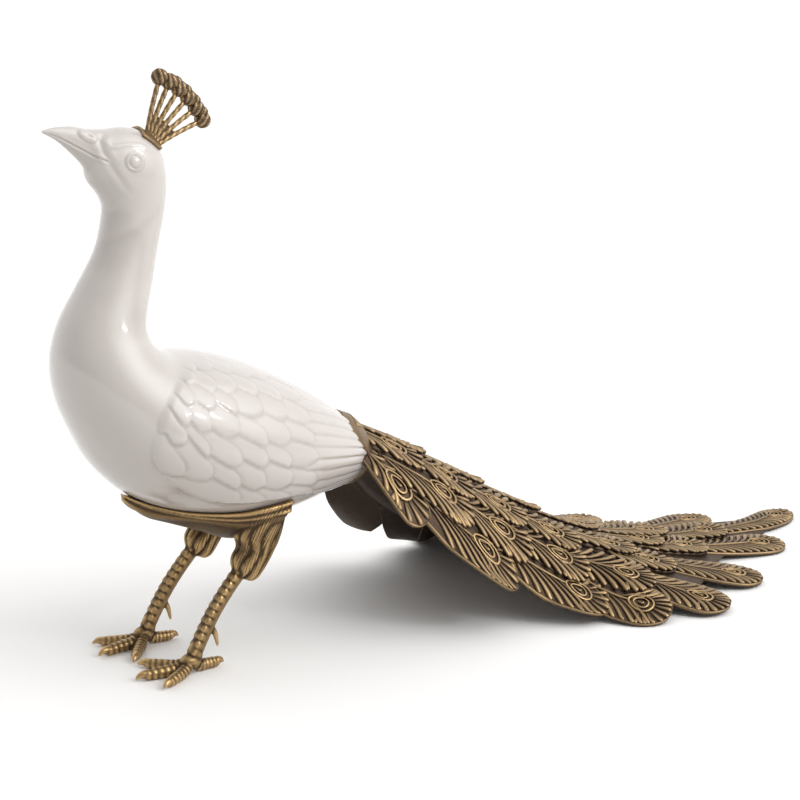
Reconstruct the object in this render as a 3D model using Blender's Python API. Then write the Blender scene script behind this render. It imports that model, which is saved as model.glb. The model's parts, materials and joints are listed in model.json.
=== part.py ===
"""Peacock figurine: a white porcelain bird on a brass cradle with legs, a brass crest and a brass train.

Metres, +Z up. The head points to -X, the train to +X, the bird's left side to -Y.
Shape tables are written in shares of the stance unit, which is worked out from the figure height.
"""
import math

import bmesh
import bpy
from mathutils import Matrix, Vector

# Whole figure
FIGURE_HEIGHT = 0.498
UNIT = FIGURE_HEIGHT / 11.86
FIT_GAP = 0.0003
CAST_FLATNESS = 4.0
FIT_FLATNESS = 1.0

# Porcelain body
BODY_HALF_WIDTH = 0.0806
NECK_SIDES = 18
SCALE_ROWS = 6
SCALE_ANGLE = 16.0
SCALE_RISE = 0.0012
WING_RISE = 0.0013
RIB_RISE = 0.0007
EYE_DIAMETER = 0.0146
EYE_RISE = 0.0010
NOSTRIL_LENGTH = 0.0125

# Crest
STEM_COUNT = 6
STEM_DIAMETER = 0.0038
BUD_DIAMETER = 0.0122
PLATE_THICKNESS = 0.0022
WEB_THICKNESS = 0.0016

# Cradle and legs
STANCE_HALF = 0.042
CRADLE_WALL = 0.0046
SHANK_DIAMETER = 0.0122
TOE_DIAMETER = 0.0108
SPUR_LENGTH = 0.012
SCUTE_COUNT = 10

# Train
TRAIN_LENGTH = 14.17 * UNIT
TRAIN_HALF_WIDTH = 4.32 * UNIT
TRAIN_SWEEP = 0.381 * UNIT
FEATHER_HALF_WIDTH = 0.679 * UNIT
FEATHER_THICKNESS = 0.0034
RACHIS_RISE = 0.0016
LAYER_STEP = 0.0026
FEATHER_EYE_LENGTH = 0.50 * UNIT
COLLAR_WALL = 0.0046

# Body stations from beak tip to rump: back x, back z, belly x, belly z, half width
BODY_STATIONS = [
    (-2.33, 10.80, -2.33, 10.76, 0.02),
    (-2.10, 10.85, -2.05, 10.60, 0.09),
    (-1.75, 10.86, -1.74, 10.33, 0.18),
    (-1.42, 10.80, -1.50, 10.06, 0.28),
    (-1.08, 10.79, -1.42, 9.80, 0.42),
    (-0.66, 10.81, -1.25, 9.58, 0.54),
    (-0.26, 10.70, -1.16, 9.42, 0.60),
    (0.05, 10.36, -1.12, 9.28, 0.62),
    (0.15, 9.82, -1.14, 9.05, 0.60),
    (0.10, 9.20, -1.22, 8.72, 0.58),
    (-0.05, 8.60, -1.40, 8.30, 0.61),
    (-0.22, 7.85, -1.74, 7.75, 0.72),
    (-0.40, 7.20, -2.10, 7.10, 0.90),
    (-0.42, 6.87, -2.25, 6.40, 1.14),
    (-0.28, 6.61, -2.16, 5.65, 1.38),
    (-0.02, 6.46, -1.86, 4.90, 1.60),
    (0.32, 6.40, -1.42, 4.15, 1.80),
    (0.80, 6.33, -0.70, 3.50, 1.90),
    (1.40, 6.16, 0.38, 3.00, 1.92),
    (2.05, 5.90, 1.45, 2.78, 1.84),
    (2.85, 5.49, 2.50, 2.82, 1.64),
    (3.60, 5.03, 3.40, 2.98, 1.30),
    (4.20, 4.58, 4.15, 3.15, 0.92),
    (4.60, 4.17, 4.60, 3.30, 0.58),
    (4.80, 3.90, 4.80, 3.50, 0.28),
]
WIDEST_STATION = 1.92
WING_FRONT = 15.15
WING_REAR = 19.6
RIB_END = 22.3
WING_TOP_ANGLE = 16.0
WING_LOW_ANGLE = 132.0

# Cradle stations along the belly: x, rim half width, rim z, keel z
CRADLE_STATIONS = [
    (-0.95, 0.06, 3.63, 3.48),
    (-0.75, 0.28, 3.52, 3.28),
    (-0.45, 0.52, 3.40, 3.07),
    (0.00, 0.86, 3.29, 2.92),
    (0.50, 1.12, 3.23, 2.72),
    (1.00, 1.29, 3.20, 2.50),
    (1.50, 1.46, 3.26, 2.38),
    (1.95, 1.50, 3.30, 2.48),
    (2.25, 1.46, 3.29, 2.78),
    (2.38, 1.34, 3.26, 2.98),
]

# Thigh sections from the cuff up: x, side share, z, half length, half breadth, tilt in degrees
THIGH_SECTIONS = [
    (1.17, 0.0, 1.85, 0.25, 0.23, 37.0),
    (1.29, 0.0, 2.02, 0.38, 0.31, 30.0),
    (1.42, 0.1, 2.28, 0.46, 0.35, 16.0),
    (1.50, 0.3, 2.58, 0.54, 0.37, 6.0),
    (1.56, 0.6, 2.86, 0.55, 0.37, -4.0),
    (1.64, 1.0, 3.12, 0.52, 0.33, -12.0),
]
THIGH_TOP_HALF = 1.10

# Train ridge: share of the train length, height
RIDGE = [
    (0.0, 4.60),
    (0.10, 3.86),
    (0.192, 3.11),
    (0.276, 2.42),
    (0.356, 1.79),
    (0.438, 1.22),
    (0.533, 0.82),
    (0.650, 0.52),
    (0.771, 0.30),
    (0.890, 0.16),
    (1.0, 0.08),
]

# Train rim: share of the train length, share of the half width, height
RIM = [
    (-0.03, 0.42, 2.45),
    (0.061, 0.462, 2.18),
    (0.200, 0.575, 0.69),
    (0.340, 0.740, 0.0),
    (0.409, 0.958, 0.0),
    (0.517, 1.0, 0.0),
    (0.669, 0.720, 0.0),
    (0.845, 0.320, 0.0),
    (1.0, 0.03, 0.0),
]
TRAIN_START = 4.19

# Feathers: layer, width share, root and tip, each as shares of the train length and half width
FEATHERS = [
    (0, 0.66, (0.008, 0.20), (0.066, 0.458)),
    (0, 1.20, (0.070, 0.36), (0.204, 0.572)),
    (0, 1.05, (0.190, 0.42), (0.342, 0.740)),
    (0, 1.05, (0.290, 0.43), (0.409, 0.956)),
    (0, 1.05, (0.400, 0.56), (0.517, 1.000)),
    (0, 1.05, (0.500, 0.42), (0.669, 0.720)),
    (0, 1.00, (0.640, 0.20), (0.845, 0.318)),
    (0, 0.80, (0.780, 0.0), (1.0, 0.0)),
    (1, 0.85, (0.030, 0.21), (0.168, 0.350)),
    (1, 0.90, (0.128, 0.275), (0.262, 0.428)),
    (1, 0.90, (0.220, 0.32), (0.352, 0.532)),
    (1, 0.90, (0.318, 0.41), (0.440, 0.722)),
    (1, 0.90, (0.407, 0.345), (0.532, 0.530)),
    (1, 0.90, (0.520, 0.20), (0.681, 0.225)),
    (1, 0.90, (0.640, 0.0), (0.795, 0.0)),
    (2, 0.70, (0.000, 0.07), (0.115, 0.155)),
    (2, 0.74, (0.080, 0.11), (0.200, 0.200)),
    (2, 0.78, (0.165, 0.14), (0.290, 0.260)),
    (2, 0.80, (0.255, 0.19), (0.375, 0.360)),
    (2, 0.82, (0.350, 0.21), (0.490, 0.360)),
    (2, 0.82, (0.450, 0.11), (0.605, 0.150)),
    (3, 0.62, (0.020, 0.0), (0.150, 0.0)),
    (3, 0.66, (0.120, 0.0), (0.262, 0.0)),
    (3, 0.70, (0.225, 0.0), (0.375, 0.0)),
    (3, 0.74, (0.335, 0.0), (0.500, 0.0)),
    (3, 0.78, (0.460, 0.0), (0.655, 0.0)),
]
FEATHER_OUTLINE = [(0.0, 0.50), (0.42, 0.86), (0.76, 1.0), (0.94, 0.70), (1.0, 0.30)]


# Empty the file before building

def clear_file():
    for item in list(bpy.data.objects):
        bpy.data.objects.remove(item, do_unlink=True)
    for block in (bpy.data.meshes, bpy.data.materials):
        for item in list(block):
            block.remove(item)


# Curves through tables

def table_row(table, place):
    """A smooth row of numbers at a fractional place in a table."""
    last = len(table) - 1
    place = min(max(place, 0.0), float(last))
    index = min(int(place), last - 1)
    share = place - index
    p1 = table[index]
    p2 = table[index + 1]
    p0 = table[index - 1] if index > 0 else tuple(2 * a - b for a, b in zip(p1, p2))
    p3 = table[index + 2] if index + 2 <= last else tuple(2 * b - a for a, b in zip(p1, p2))
    row = []
    for a, b, c, d in zip(p0, p1, p2, p3):
        square = share * share
        cube = square * share
        value = 2 * b + (c - a) * share + (2 * a - 5 * b + 4 * c - d) * square + (3 * b - a - 3 * c + d) * cube
        row.append(0.5 * value)
    return row


def height_at(table, share, column):
    """A straight-line value in a table whose first column rises."""
    if share <= table[0][0]:
        return table[0][column]
    for low, high in zip(table, table[1:]):
        if share <= high[0]:
            part = (share - low[0]) / (high[0] - low[0])
            return low[column] + part * (high[column] - low[column])
    return table[-1][column]


def smooth_share(value, low, high):
    part = min(max((value - low) / (high - low), 0.0), 1.0)
    return part * part * (3 - 2 * part)


# Mesh helpers

def solid_from(name, points, faces):
    """A closed mesh object with outward faces."""
    mesh = bpy.data.meshes.new(name)
    mesh.from_pydata([tuple(point) for point in points], [], faces)
    work = bmesh.new()
    work.from_mesh(mesh)
    bmesh.ops.remove_doubles(work, verts=work.verts, dist=0.000002)
    bmesh.ops.triangulate(work, faces=work.faces)
    bmesh.ops.recalc_face_normals(work, faces=work.faces)
    if work.calc_volume(signed=True) < 0:
        bmesh.ops.reverse_faces(work, faces=work.faces)
    work.to_mesh(mesh)
    work.free()
    item = bpy.data.objects.new(name, mesh)
    bpy.context.scene.collection.objects.link(item)
    return item


def loft(name, rings):
    """A closed skin over rings of equal length, with flat ends."""
    count = len(rings[0])
    points = [point for ring in rings for point in ring]
    faces = []
    for row in range(len(rings) - 1):
        for column in range(count):
            a = row * count + column
            b = row * count + (column + 1) % count
            faces.append((a, b, b + count, a + count))
    faces.append(tuple(reversed(range(count))))
    first = (len(rings) - 1) * count
    faces.append(tuple(range(first, first + count)))
    return solid_from(name, points, faces)


def combine(target, other, operation):
    """Boolean one solid with another and drop the other."""
    change = target.modifiers.new("Join", "BOOLEAN")
    change.operation = operation
    change.solver = "EXACT"
    change.object = other
    bpy.context.view_layer.update()
    graph = bpy.context.evaluated_depsgraph_get()
    result = bpy.data.meshes.new_from_object(target.evaluated_get(graph))
    target.modifiers.clear()
    old = target.data
    target.data = result
    bpy.data.meshes.remove(old)
    bpy.data.objects.remove(other, do_unlink=True)
    return target


def union_all(items):
    target = items[0]
    for other in items[1:]:
        combine(target, other, "UNION")
    return target


def grown_copy(item, distance):
    """The same solid pushed out evenly along its normals."""
    copy = bpy.data.objects.new(item.name + "_room", item.data.copy())
    bpy.context.scene.collection.objects.link(copy)
    work = bmesh.new()
    work.from_mesh(copy.data)
    work.normal_update()
    moves = [vert.normal * distance * min(vert.calc_shell_factor(), 1.6) for vert in work.verts]
    for vert, move in zip(work.verts, moves):
        vert.co += move
    work.to_mesh(copy.data)
    work.free()
    return copy


def fill_pockets(item):
    """Drop closed hollow shells inside a casting."""
    work = bmesh.new()
    work.from_mesh(item.data)
    left = set(work.verts)
    while left:
        shell = set()
        queue = [left.pop()]
        while queue:
            vert = queue.pop()
            shell.add(vert)
            for edge in vert.link_edges:
                other = edge.other_vert(vert)
                if other in left:
                    left.remove(other)
                    queue.append(other)
        faces = {face for vert in shell for face in vert.link_faces}
        volume = sum(face.verts[0].co.dot(face.normal) * face.calc_area() for face in faces)
        if volume < 0:
            bmesh.ops.delete(work, geom=list(shell), context="VERTS")
    work.to_mesh(item.data)
    work.free()


def tidy(item, flatness):
    """Merge stray points, join faces that are nearly flat together and leave only triangles."""
    work = bmesh.new()
    work.from_mesh(item.data)
    bmesh.ops.remove_doubles(work, verts=work.verts, dist=0.000002)
    bmesh.ops.dissolve_degenerate(work, edges=work.edges, dist=0.000002)
    bmesh.ops.dissolve_limit(work, angle_limit=math.radians(flatness), verts=work.verts, edges=work.edges)
    bmesh.ops.triangulate(work, faces=work.faces)
    work.to_mesh(item.data)
    work.free()


# Porcelain body

def body_point(place, angle):
    """A point of the plain body; the angle runs from the back down the bird's left side."""
    back_x, back_z, belly_x, belly_z, half = table_row(BODY_STATIONS, place)
    turn = math.radians(angle)
    middle_x = (back_x + belly_x) / 2
    middle_z = (back_z + belly_z) / 2
    reach_x = (back_x - belly_x) / 2
    reach_z = (back_z - belly_z) / 2
    x = (middle_x + reach_x * math.cos(turn)) * UNIT
    z = (middle_z + reach_z * math.cos(turn)) * UNIT
    y = -half / WIDEST_STATION * BODY_HALF_WIDTH * math.sin(turn)
    return Vector((x, y, z))


def body_normal(place, angle):
    along = body_point(place + 0.03, angle) - body_point(place - 0.03, angle)
    around = body_point(place, angle + 1.5) - body_point(place, angle - 1.5)
    return around.cross(along).normalized()


def raised_point(place, angle, rise):
    return body_point(place, angle) + body_normal(place, angle) * rise


def side_angle(angle):
    """The same angle counted down from the back on either side."""
    return angle if angle <= 180 else 360 - angle


def wing_columns():
    step = SCALE_ANGLE / 4
    count = int(round((WING_LOW_ANGLE - WING_TOP_ANGLE) / step))
    half = [0.0]
    half += [WING_TOP_ANGLE + index * step for index in range(count + 1)]
    half += [WING_LOW_ANGLE + 3.0, 150.0, 165.0]
    return half + [180.0] + [360.0 - value for value in reversed(half[1:])]


def wing_share(angle):
    """One on the wing, zero on the belly, fading towards the spine."""
    down = side_angle(angle)
    if down > WING_LOW_ANGLE + 0.1:
        return 0.0
    return smooth_share(down, 4.0, 34.0)


def front_place(angle):
    """Where the wing starts, further back near the spine and low on the breast."""
    down = side_angle(angle)
    if down > 72:
        return WING_FRONT + ((min(down, 135.0) - 72) / 55) ** 2 * 0.95
    return WING_FRONT + ((72 - down) / 55) ** 2 * 0.8


def scale_offset(row, angle):
    """Zero in the middle of a scale of this row, one where two scales meet."""
    place = (side_angle(angle) - WING_TOP_ANGLE) / SCALE_ANGLE + (0.5 if row % 2 else 0.0)
    return 2 * abs(place - round(place))


def wing_rings():
    """Rings of (place, angle, rise) over the wing, one lip and one step per row of scales."""
    columns = wing_columns()
    rings = [[(front_place(a) - 0.05, a, 0.0) for a in columns]]
    rings.append([(front_place(a) + 0.08, a, WING_RISE * wing_share(a)) for a in columns])
    for row in range(SCALE_ROWS):
        lip = []
        step = []
        for angle in columns:
            start = front_place(angle)
            pitch = (WING_REAR - start) / SCALE_ROWS
            share = wing_share(angle)
            offset = scale_offset(row, angle) if share > 0 else 0.6
            place = start + pitch * (row + 1) - pitch * 0.5 * offset ** 2.4
            top = WING_RISE + SCALE_RISE * (1 - 0.65 * offset ** 2)
            low = WING_RISE + SCALE_RISE * 0.35 * offset ** 2
            lip.append((place, angle, top * share))
            step.append((place + 0.05, angle, low * share))
        rings.append(lip)
        rings.append(step)
    ribs = 3
    for index in range(1, ribs + 1):
        place = WING_REAR + (RIB_END - WING_REAR) * index / ribs
        fade = 1 - index / ribs
        ring = []
        for angle in columns:
            wave = 1 - scale_offset(0, angle)
            rise = (WING_RISE + RIB_RISE * (2 * wave - 1)) * wing_share(angle) * fade
            ring.append((place + 0.12, angle, rise))
        rings.append(ring)
    return rings


def stitch(first_angles, first_start, second_angles, second_start):
    """Triangles between two rings with different numbers of points."""
    faces = []
    i = 0
    j = 0
    m = len(first_angles)
    n = len(second_angles)
    while i < m or j < n:
        next_i = first_angles[i + 1] if i + 1 < m else 360.0 + (0.0 if i < m else 999.0)
        next_j = second_angles[j + 1] if j + 1 < n else 360.0 + (0.0 if j < n else 999.0)
        a = first_start + i % m
        b = second_start + j % n
        if next_i <= next_j:
            faces.append((a, first_start + (i + 1) % m, b))
            i += 1
        else:
            faces.append((a, second_start + (j + 1) % n, b))
            j += 1
    return faces


def build_body_skin():
    neck_angles = [360.0 * index / NECK_SIDES for index in range(NECK_SIDES)]
    columns = wing_columns()
    rings = []
    for index in range(29):
        rings.append([(index * 0.5, angle, 0.0) for angle in neck_angles])
    rings += wing_rings()
    for place in (23.0, 23.5, 24.0):
        rings.append([(place, angle, 0.0) for angle in neck_angles])
    points = []
    starts = []
    for ring in rings:
        starts.append(len(points))
        points += [raised_point(*spot) for spot in ring]
    faces = []
    for first, second, start, after in zip(rings, rings[1:], starts, starts[1:]):
        if len(first) == len(second):
            count = len(first)
            for column in range(count):
                other = (column + 1) % count
                faces.append((start + column, start + other, after + other, after + column))
        else:
            first_angles = [spot[1] for spot in first]
            second_angles = [spot[1] for spot in second]
            faces += stitch(first_angles, start, second_angles, after)
    faces.append(tuple(reversed(range(NECK_SIDES))))
    faces.append(tuple(range(starts[-1], starts[-1] + NECK_SIDES)))
    return solid_from("porcelain_body", points, faces)


def dome(name, place, angle, length, breadth, profile, sides, lean):
    """A low turned boss standing on the body: profile rows are radius share and height."""
    centre = body_point(place, angle)
    normal = body_normal(place, angle)
    along = (body_point(place + 0.1, angle) - body_point(place - 0.1, angle)).normalized()
    along = (along - normal * along.dot(normal)).normalized()
    along = Matrix.Rotation(math.radians(lean), 3, normal) @ along
    across = normal.cross(along)
    rings = []
    for share, rise in profile:
        ring = []
        for index in range(sides):
            turn = 2 * math.pi * index / sides
            flat = along * math.cos(turn) * length / 2 * share + across * math.sin(turn) * breadth / 2 * share
            ring.append(centre + flat + normal * rise)
        rings.append(ring)
    return loft(name, rings)


def build_body():
    body = build_body_skin()
    eye_profile = [
        (0.9, -0.003),
        (1.0, -0.0002),
        (0.93, EYE_RISE),
        (0.76, EYE_RISE),
        (0.70, 0.0003),
        (0.62, 0.0004),
        (0.40, EYE_RISE * 1.5),
        (0.12, EYE_RISE * 1.9),
    ]
    nostril_profile = [(0.7, -0.003), (1.0, -0.0003), (0.8, 0.0012), (0.35, 0.0020)]
    for side in (1, -1):
        angle = 83 if side > 0 else 277
        combine(body, dome("eye", 5.70, angle, EYE_DIAMETER, EYE_DIAMETER, eye_profile, 12, 0), "UNION")
        angle = 52 if side > 0 else 308
        breadth = NOSTRIL_LENGTH * 0.62
        boss = dome("nostril", 2.78, angle, NOSTRIL_LENGTH, breadth, nostril_profile, 8, 0)
        combine(body, boss, "UNION")
    return body


# Crest

def stem_line(index):
    """Foot, head and direction of one crest stem in the middle plane."""
    share = index / (STEM_COUNT - 1)
    foot_x = -0.16 + 0.28 * share
    foot_z = 10.66 - 0.20 * share ** 1.5
    lean = math.radians(74 - 50 * share ** 1.08)
    foot = Vector((foot_x, 0, foot_z)) * UNIT
    way = Vector((math.cos(lean), 0, math.sin(lean)))
    length = (1.08 - 0.08 * share) * UNIT
    return foot, way, length


def tube(name, centres, radii, sides, twist):
    """A round bar along a line of centres, its ridges turned by the twist."""
    rings = []
    for index, (centre, radius) in enumerate(zip(centres, radii)):
        before = centres[max(index - 1, 0)]
        after = centres[min(index + 1, len(centres) - 1)]
        way = (after - before).normalized()
        side = way.cross(Vector((0, 1, 0)))
        if side.length < 0.1:
            side = way.cross(Vector((1, 0, 0)))
        side.normalize()
        other = way.cross(side)
        ring = []
        for corner in range(sides):
            turn = 2 * math.pi * corner / sides + twist * (index + 1)
            ring.append(centre + (side * math.cos(turn) + other * math.sin(turn)) * radius)
        rings.append(ring)
    return loft(name, rings)


def bud(index):
    """A ribbed bud on a stem, a little wider than long."""
    foot, way, length = stem_line(index)
    side = way.cross(Vector((0, 1, 0))).normalized()
    other = Vector((0, 1, 0))
    start = foot + way * (length - BUD_DIAMETER * 0.55)
    rings = []
    for share, width in ((0.0, 0.30), (0.38, 0.98), (0.76, 0.84), (1.0, 0.25)):
        centre = start + way * BUD_DIAMETER * 0.98 * share
        ring = []
        for corner in range(8):
            turn = 2 * math.pi * corner / 8
            ridge = 1.0 if corner % 2 else 0.88
            radius = BUD_DIAMETER / 2 * width * ridge
            ring.append(centre + side * math.cos(turn) * radius + other * math.sin(turn) * radius)
        rings.append(ring)
    return loft("bud", rings)


def crest_web():
    """The thin plate between the stems near the crown."""
    outline = []
    for index in range(STEM_COUNT):
        foot, way, length = stem_line(index)
        outline.append(foot + way * length * (0.42 if index % 2 else 0.36))
    below = [stem_line(index)[0] - stem_line(index)[1] * UNIT * 0.10 for index in range(STEM_COUNT)]
    half = Vector((0, WEB_THICKNESS / 2, 0))
    rings = []
    for low, high in zip(below, outline):
        rings.append([low - half, low + half, high + half, high - half])
    return loft("web", rings)


def crest_plate():
    """A thin saddle over the crown that carries the stems."""
    places = [5.30, 5.6, 6.0, 6.4, 6.75, 7.0]
    angles = [-44, -30, -15, 0, 15, 30, 44]
    top = []
    low = []
    for place in places:
        for angle in angles:
            taper = 1 - 0.30 * abs(place - 6.1) ** 2
            top.append(raised_point(place, angle * taper, PLATE_THICKNESS + FIT_GAP))
            low.append(raised_point(place, angle * taper, -0.0016))
    across = len(angles)
    count = len(top)
    faces = []
    for row in range(len(places) - 1):
        for column in range(across - 1):
            a = row * across + column
            faces.append((a, a + 1, a + 1 + across, a + across))
            faces.append((count + a, count + a + across, count + a + 1 + across, count + a + 1))
    edge = list(range(across))
    edge += [row * across + across - 1 for row in range(1, len(places))]
    edge += [count - 1 - step for step in range(1, across)]
    edge += [row * across for row in range(len(places) - 2, 0, -1)]
    for a, b in zip(edge, edge[1:] + edge[:1]):
        faces.append((a, b, b + count, a + count))
    return solid_from("crest", top + low, faces)


def build_crest(body):
    crest = crest_plate()
    combine(crest, crest_web(), "UNION")
    for index in range(STEM_COUNT):
        foot, way, length = stem_line(index)
        shares = (-0.12, 0.25, 0.6, 0.92)
        bow = Vector((0, 0, 1)) * UNIT * 0.02
        centres = [foot + way * length * share + bow * math.sin(math.pi * max(share, 0)) for share in shares]
        radii = [STEM_DIAMETER * 0.5 * thick for thick in (0.9, 0.95, 1.0, 1.1)]
        combine(crest, tube("stem", centres, radii, 6, 0.35), "UNION")
    for index in range(STEM_COUNT):
        combine(crest, bud(index), "UNION")
    tidy(crest, CAST_FLATNESS)
    combine(crest, grown_copy(body, FIT_GAP), "DIFFERENCE")
    return crest


# Cradle and legs

def cradle_shell():
    """A boat-shaped saddle under the belly; the body is cut out of it later."""
    rings = []
    steps = 12
    for x, half, rim, keel in CRADLE_STATIONS:
        ring = []
        for index in range(steps + 1):
            turn = math.pi * index / steps - math.pi / 2
            y = half * math.sin(turn)
            z = rim - (rim - keel) * math.cos(turn) ** 0.8
            groove = 0.985 if index % 2 else 1.0
            ring.append(Vector((x, y * groove, z)) * UNIT)
        inner = max(half - 3 * CRADLE_WALL / UNIT, half * 0.4)
        ring.append(Vector((x, inner, rim + 0.12)) * UNIT)
        ring.append(Vector((x, -inner, rim + 0.12)) * UNIT)
        rings.append(ring)
    return loft("leg_cradle", rings)


def thigh(side):
    rings = []
    sides = 12
    for x, share, z, length, breadth, tilt in THIGH_SECTIONS:
        y = STANCE_HALF * 0.96 + (THIGH_TOP_HALF * UNIT - STANCE_HALF * 0.96) * share
        lean = math.radians(tilt)
        along = Vector((math.cos(lean), 0, -math.sin(lean)))
        ring = []
        for corner in range(sides):
            turn = 2 * math.pi * corner / sides
            ridge = 1.0 if corner % 2 else 0.90
            spot = Vector((x * UNIT, side * y, z * UNIT))
            spot += along * math.cos(turn) * length * UNIT * ridge
            spot += Vector((0, 1, 0)) * math.sin(turn) * breadth * UNIT * ridge
            ring.append(spot)
        rings.append(ring)
    return loft("thigh", rings)


def shank(side):
    """A leaning leg with a column of plates down its front."""
    top = Vector((1.20 * UNIT, side * STANCE_HALF * 0.96, 1.90 * UNIT))
    foot = Vector((-0.02 * UNIT, side * STANCE_HALF, 0.26 * UNIT))
    way = (foot - top).normalized()
    out = Vector((0, 1, 0))
    front = out.cross(way)
    if front.x > 0:
        front = -front
    sides = 8
    rings = []
    for index in range(2 * SCUTE_COUNT + 1):
        share = index / (2 * SCUTE_COUNT)
        lip = 1.0 if index % 2 else 0.0
        radius = SHANK_DIAMETER / 2 * (0.94 + 0.14 * share)
        centre = top + (foot - top) * (share - (0.012 if index % 2 == 0 else 0.0))
        ring = []
        for corner in range(sides):
            turn = 2 * math.pi * corner / sides
            facing = max(math.cos(turn), 0.0)
            reach = radius * (1 + facing * (0.16 * lip - 0.04))
            ring.append(centre + front * math.cos(turn) * reach + out * math.sin(turn) * reach * 0.95)
        rings.append(ring)
    return loft("shank", rings)


def toe(start, tip, thick):
    """A ridged toe lying on the floor with a pointed claw."""
    way = tip - start
    out = Vector((-way.y, way.x, 0)).normalized()
    shares = (0.0, 0.26, 0.34, 0.52, 0.60, 0.82, 1.0)
    widths = (1.0, 1.02, 0.84, 0.94, 0.78, 0.70, 0.08)
    rings = []
    for share, width in zip(shares, widths):
        radius = thick / 2 * width
        height = start.z * (1 - share) ** 2.5
        centre = Vector((start.x + way.x * share, start.y + way.y * share, max(height, radius * 0.82)))
        ring = []
        for corner in range(6):
            turn = 2 * math.pi * (corner + 0.5) / 6
            ring.append(centre + out * math.cos(turn) * radius + Vector((0, 0, 1)) * math.sin(turn) * radius)
        rings.append(ring)
    return loft("toe", rings)


def foot_parts(side):
    hub = Vector((-0.06 * UNIT, side * STANCE_HALF, 0.24 * UNIT))
    tips = [
        ((-0.79, -0.94), 0.92),
        ((-1.22, -0.19), 1.0),
        ((-0.99, 0.58), 0.92),
        ((0.74, -0.05), 0.95),
    ]
    parts = []
    for (x, y), thick in tips:
        reach = side * (STANCE_HALF + y * min(UNIT, STANCE_HALF))
        tip = Vector((x * UNIT, reach, 0))
        parts.append(toe(hub, tip, TOE_DIAMETER * thick))
    rings = []
    for rise, width in ((-1.3, 0.62), (-0.5, 0.88), (0.15, 1.0), (0.7, 0.7), (1.0, 0.3)):
        ring = []
        for corner in range(8):
            turn = 2 * math.pi * corner / 8
            spot = Vector((math.cos(turn) * 0.30, math.sin(turn) * 0.23, 0)) * width * UNIT
            ring.append(hub + spot + Vector((0.02 * UNIT, 0, rise * 0.22 * UNIT)))
        rings.append(ring)
    parts.append(loft("foot_hub", rings))
    return parts


def spur(side):
    base = Vector((0.30 * UNIT, side * STANCE_HALF * 0.99, 0.72 * UNIT))
    centres = [
        base + Vector((-0.06 * UNIT, 0, 0.03 * UNIT)),
        base + Vector((0.45, 0, -0.25)) * SPUR_LENGTH,
        base + Vector((0.60, 0, -1.0)) * SPUR_LENGTH,
    ]
    radii = [SPUR_LENGTH * 0.26, SPUR_LENGTH * 0.2, SPUR_LENGTH * 0.04]
    return tube("spur", centres, radii, 6, 0.0)


def floor_cut():
    """A block below the floor that flattens the soles."""
    size = FIGURE_HEIGHT
    corners = []
    for x in (-size, TRAIN_LENGTH * 2):
        for y in (-size, size):
            for z in (-size * 0.2, 0.0):
                corners.append(Vector((x, y, z)))
    faces = [(0, 1, 3, 2), (4, 6, 7, 5), (0, 4, 5, 1), (2, 3, 7, 6), (0, 2, 6, 4), (1, 5, 7, 3)]
    return solid_from("floor_block", corners, faces)


def build_leg_cradle(body):
    parts = [cradle_shell()]
    for side in (-1, 1):
        parts.append(thigh(side))
        parts.append(shank(side))
        parts.append(spur(side))
        parts += foot_parts(side)
    casting = union_all(parts)
    tidy(casting, CAST_FLATNESS)
    combine(casting, grown_copy(body, FIT_GAP), "DIFFERENCE")
    combine(casting, floor_cut(), "DIFFERENCE")
    return casting


# Train

def train_x(share):
    return TRAIN_START * UNIT + share * TRAIN_LENGTH


def train_height(share, side_share):
    """The top of the roof-shaped sheet at a share of the length and a signed share of the half width."""
    half = max(height_at(RIM, share, 1), 0.02)
    rim = height_at(RIM, share, 2) * UNIT + FEATHER_THICKNESS
    stack = 3 * LAYER_STEP * smooth_share(1.0 - share, 0.05, 0.35)
    ridge = max(height_at(RIDGE, share, 1) * UNIT - stack, rim)
    part = abs(side_share) / half
    arch = 1 - min(part, 1.0) ** 1.7 - 0.5 * max(min(part, 1.4) - 1.0, 0.0)
    flare = max(1 - part ** 1.8, 0.0) ** 1.5
    lying = 1 - smooth_share(height_at(RIM, share, 2), 0.0, 1.2)
    return rim + (ridge - rim) * (arch * (1 - lying) + flare * lying)


def train_normal(share, side_share):
    reach = 0.02
    along = train_height(share + reach, side_share) - train_height(share - reach, side_share)
    aside = train_height(share, side_share + reach) - train_height(share, side_share - reach)
    return Vector((
        -along / (2 * reach * TRAIN_LENGTH),
        -aside / (2 * reach * TRAIN_HALF_WIDTH),
        1.0,
    )).normalized()


def train_spot(share, side_share, lift):
    """A point lifted square off the roof-shaped sheet."""
    sweep = -TRAIN_SWEEP * smooth_share(share, 0.05, 0.75) * (1 - smooth_share(share, 0.87, 1.0))
    y = side_share * TRAIN_HALF_WIDTH + sweep
    base = Vector((train_x(share), y, train_height(share, side_share)))
    return base + train_normal(share, side_share) * lift


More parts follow.
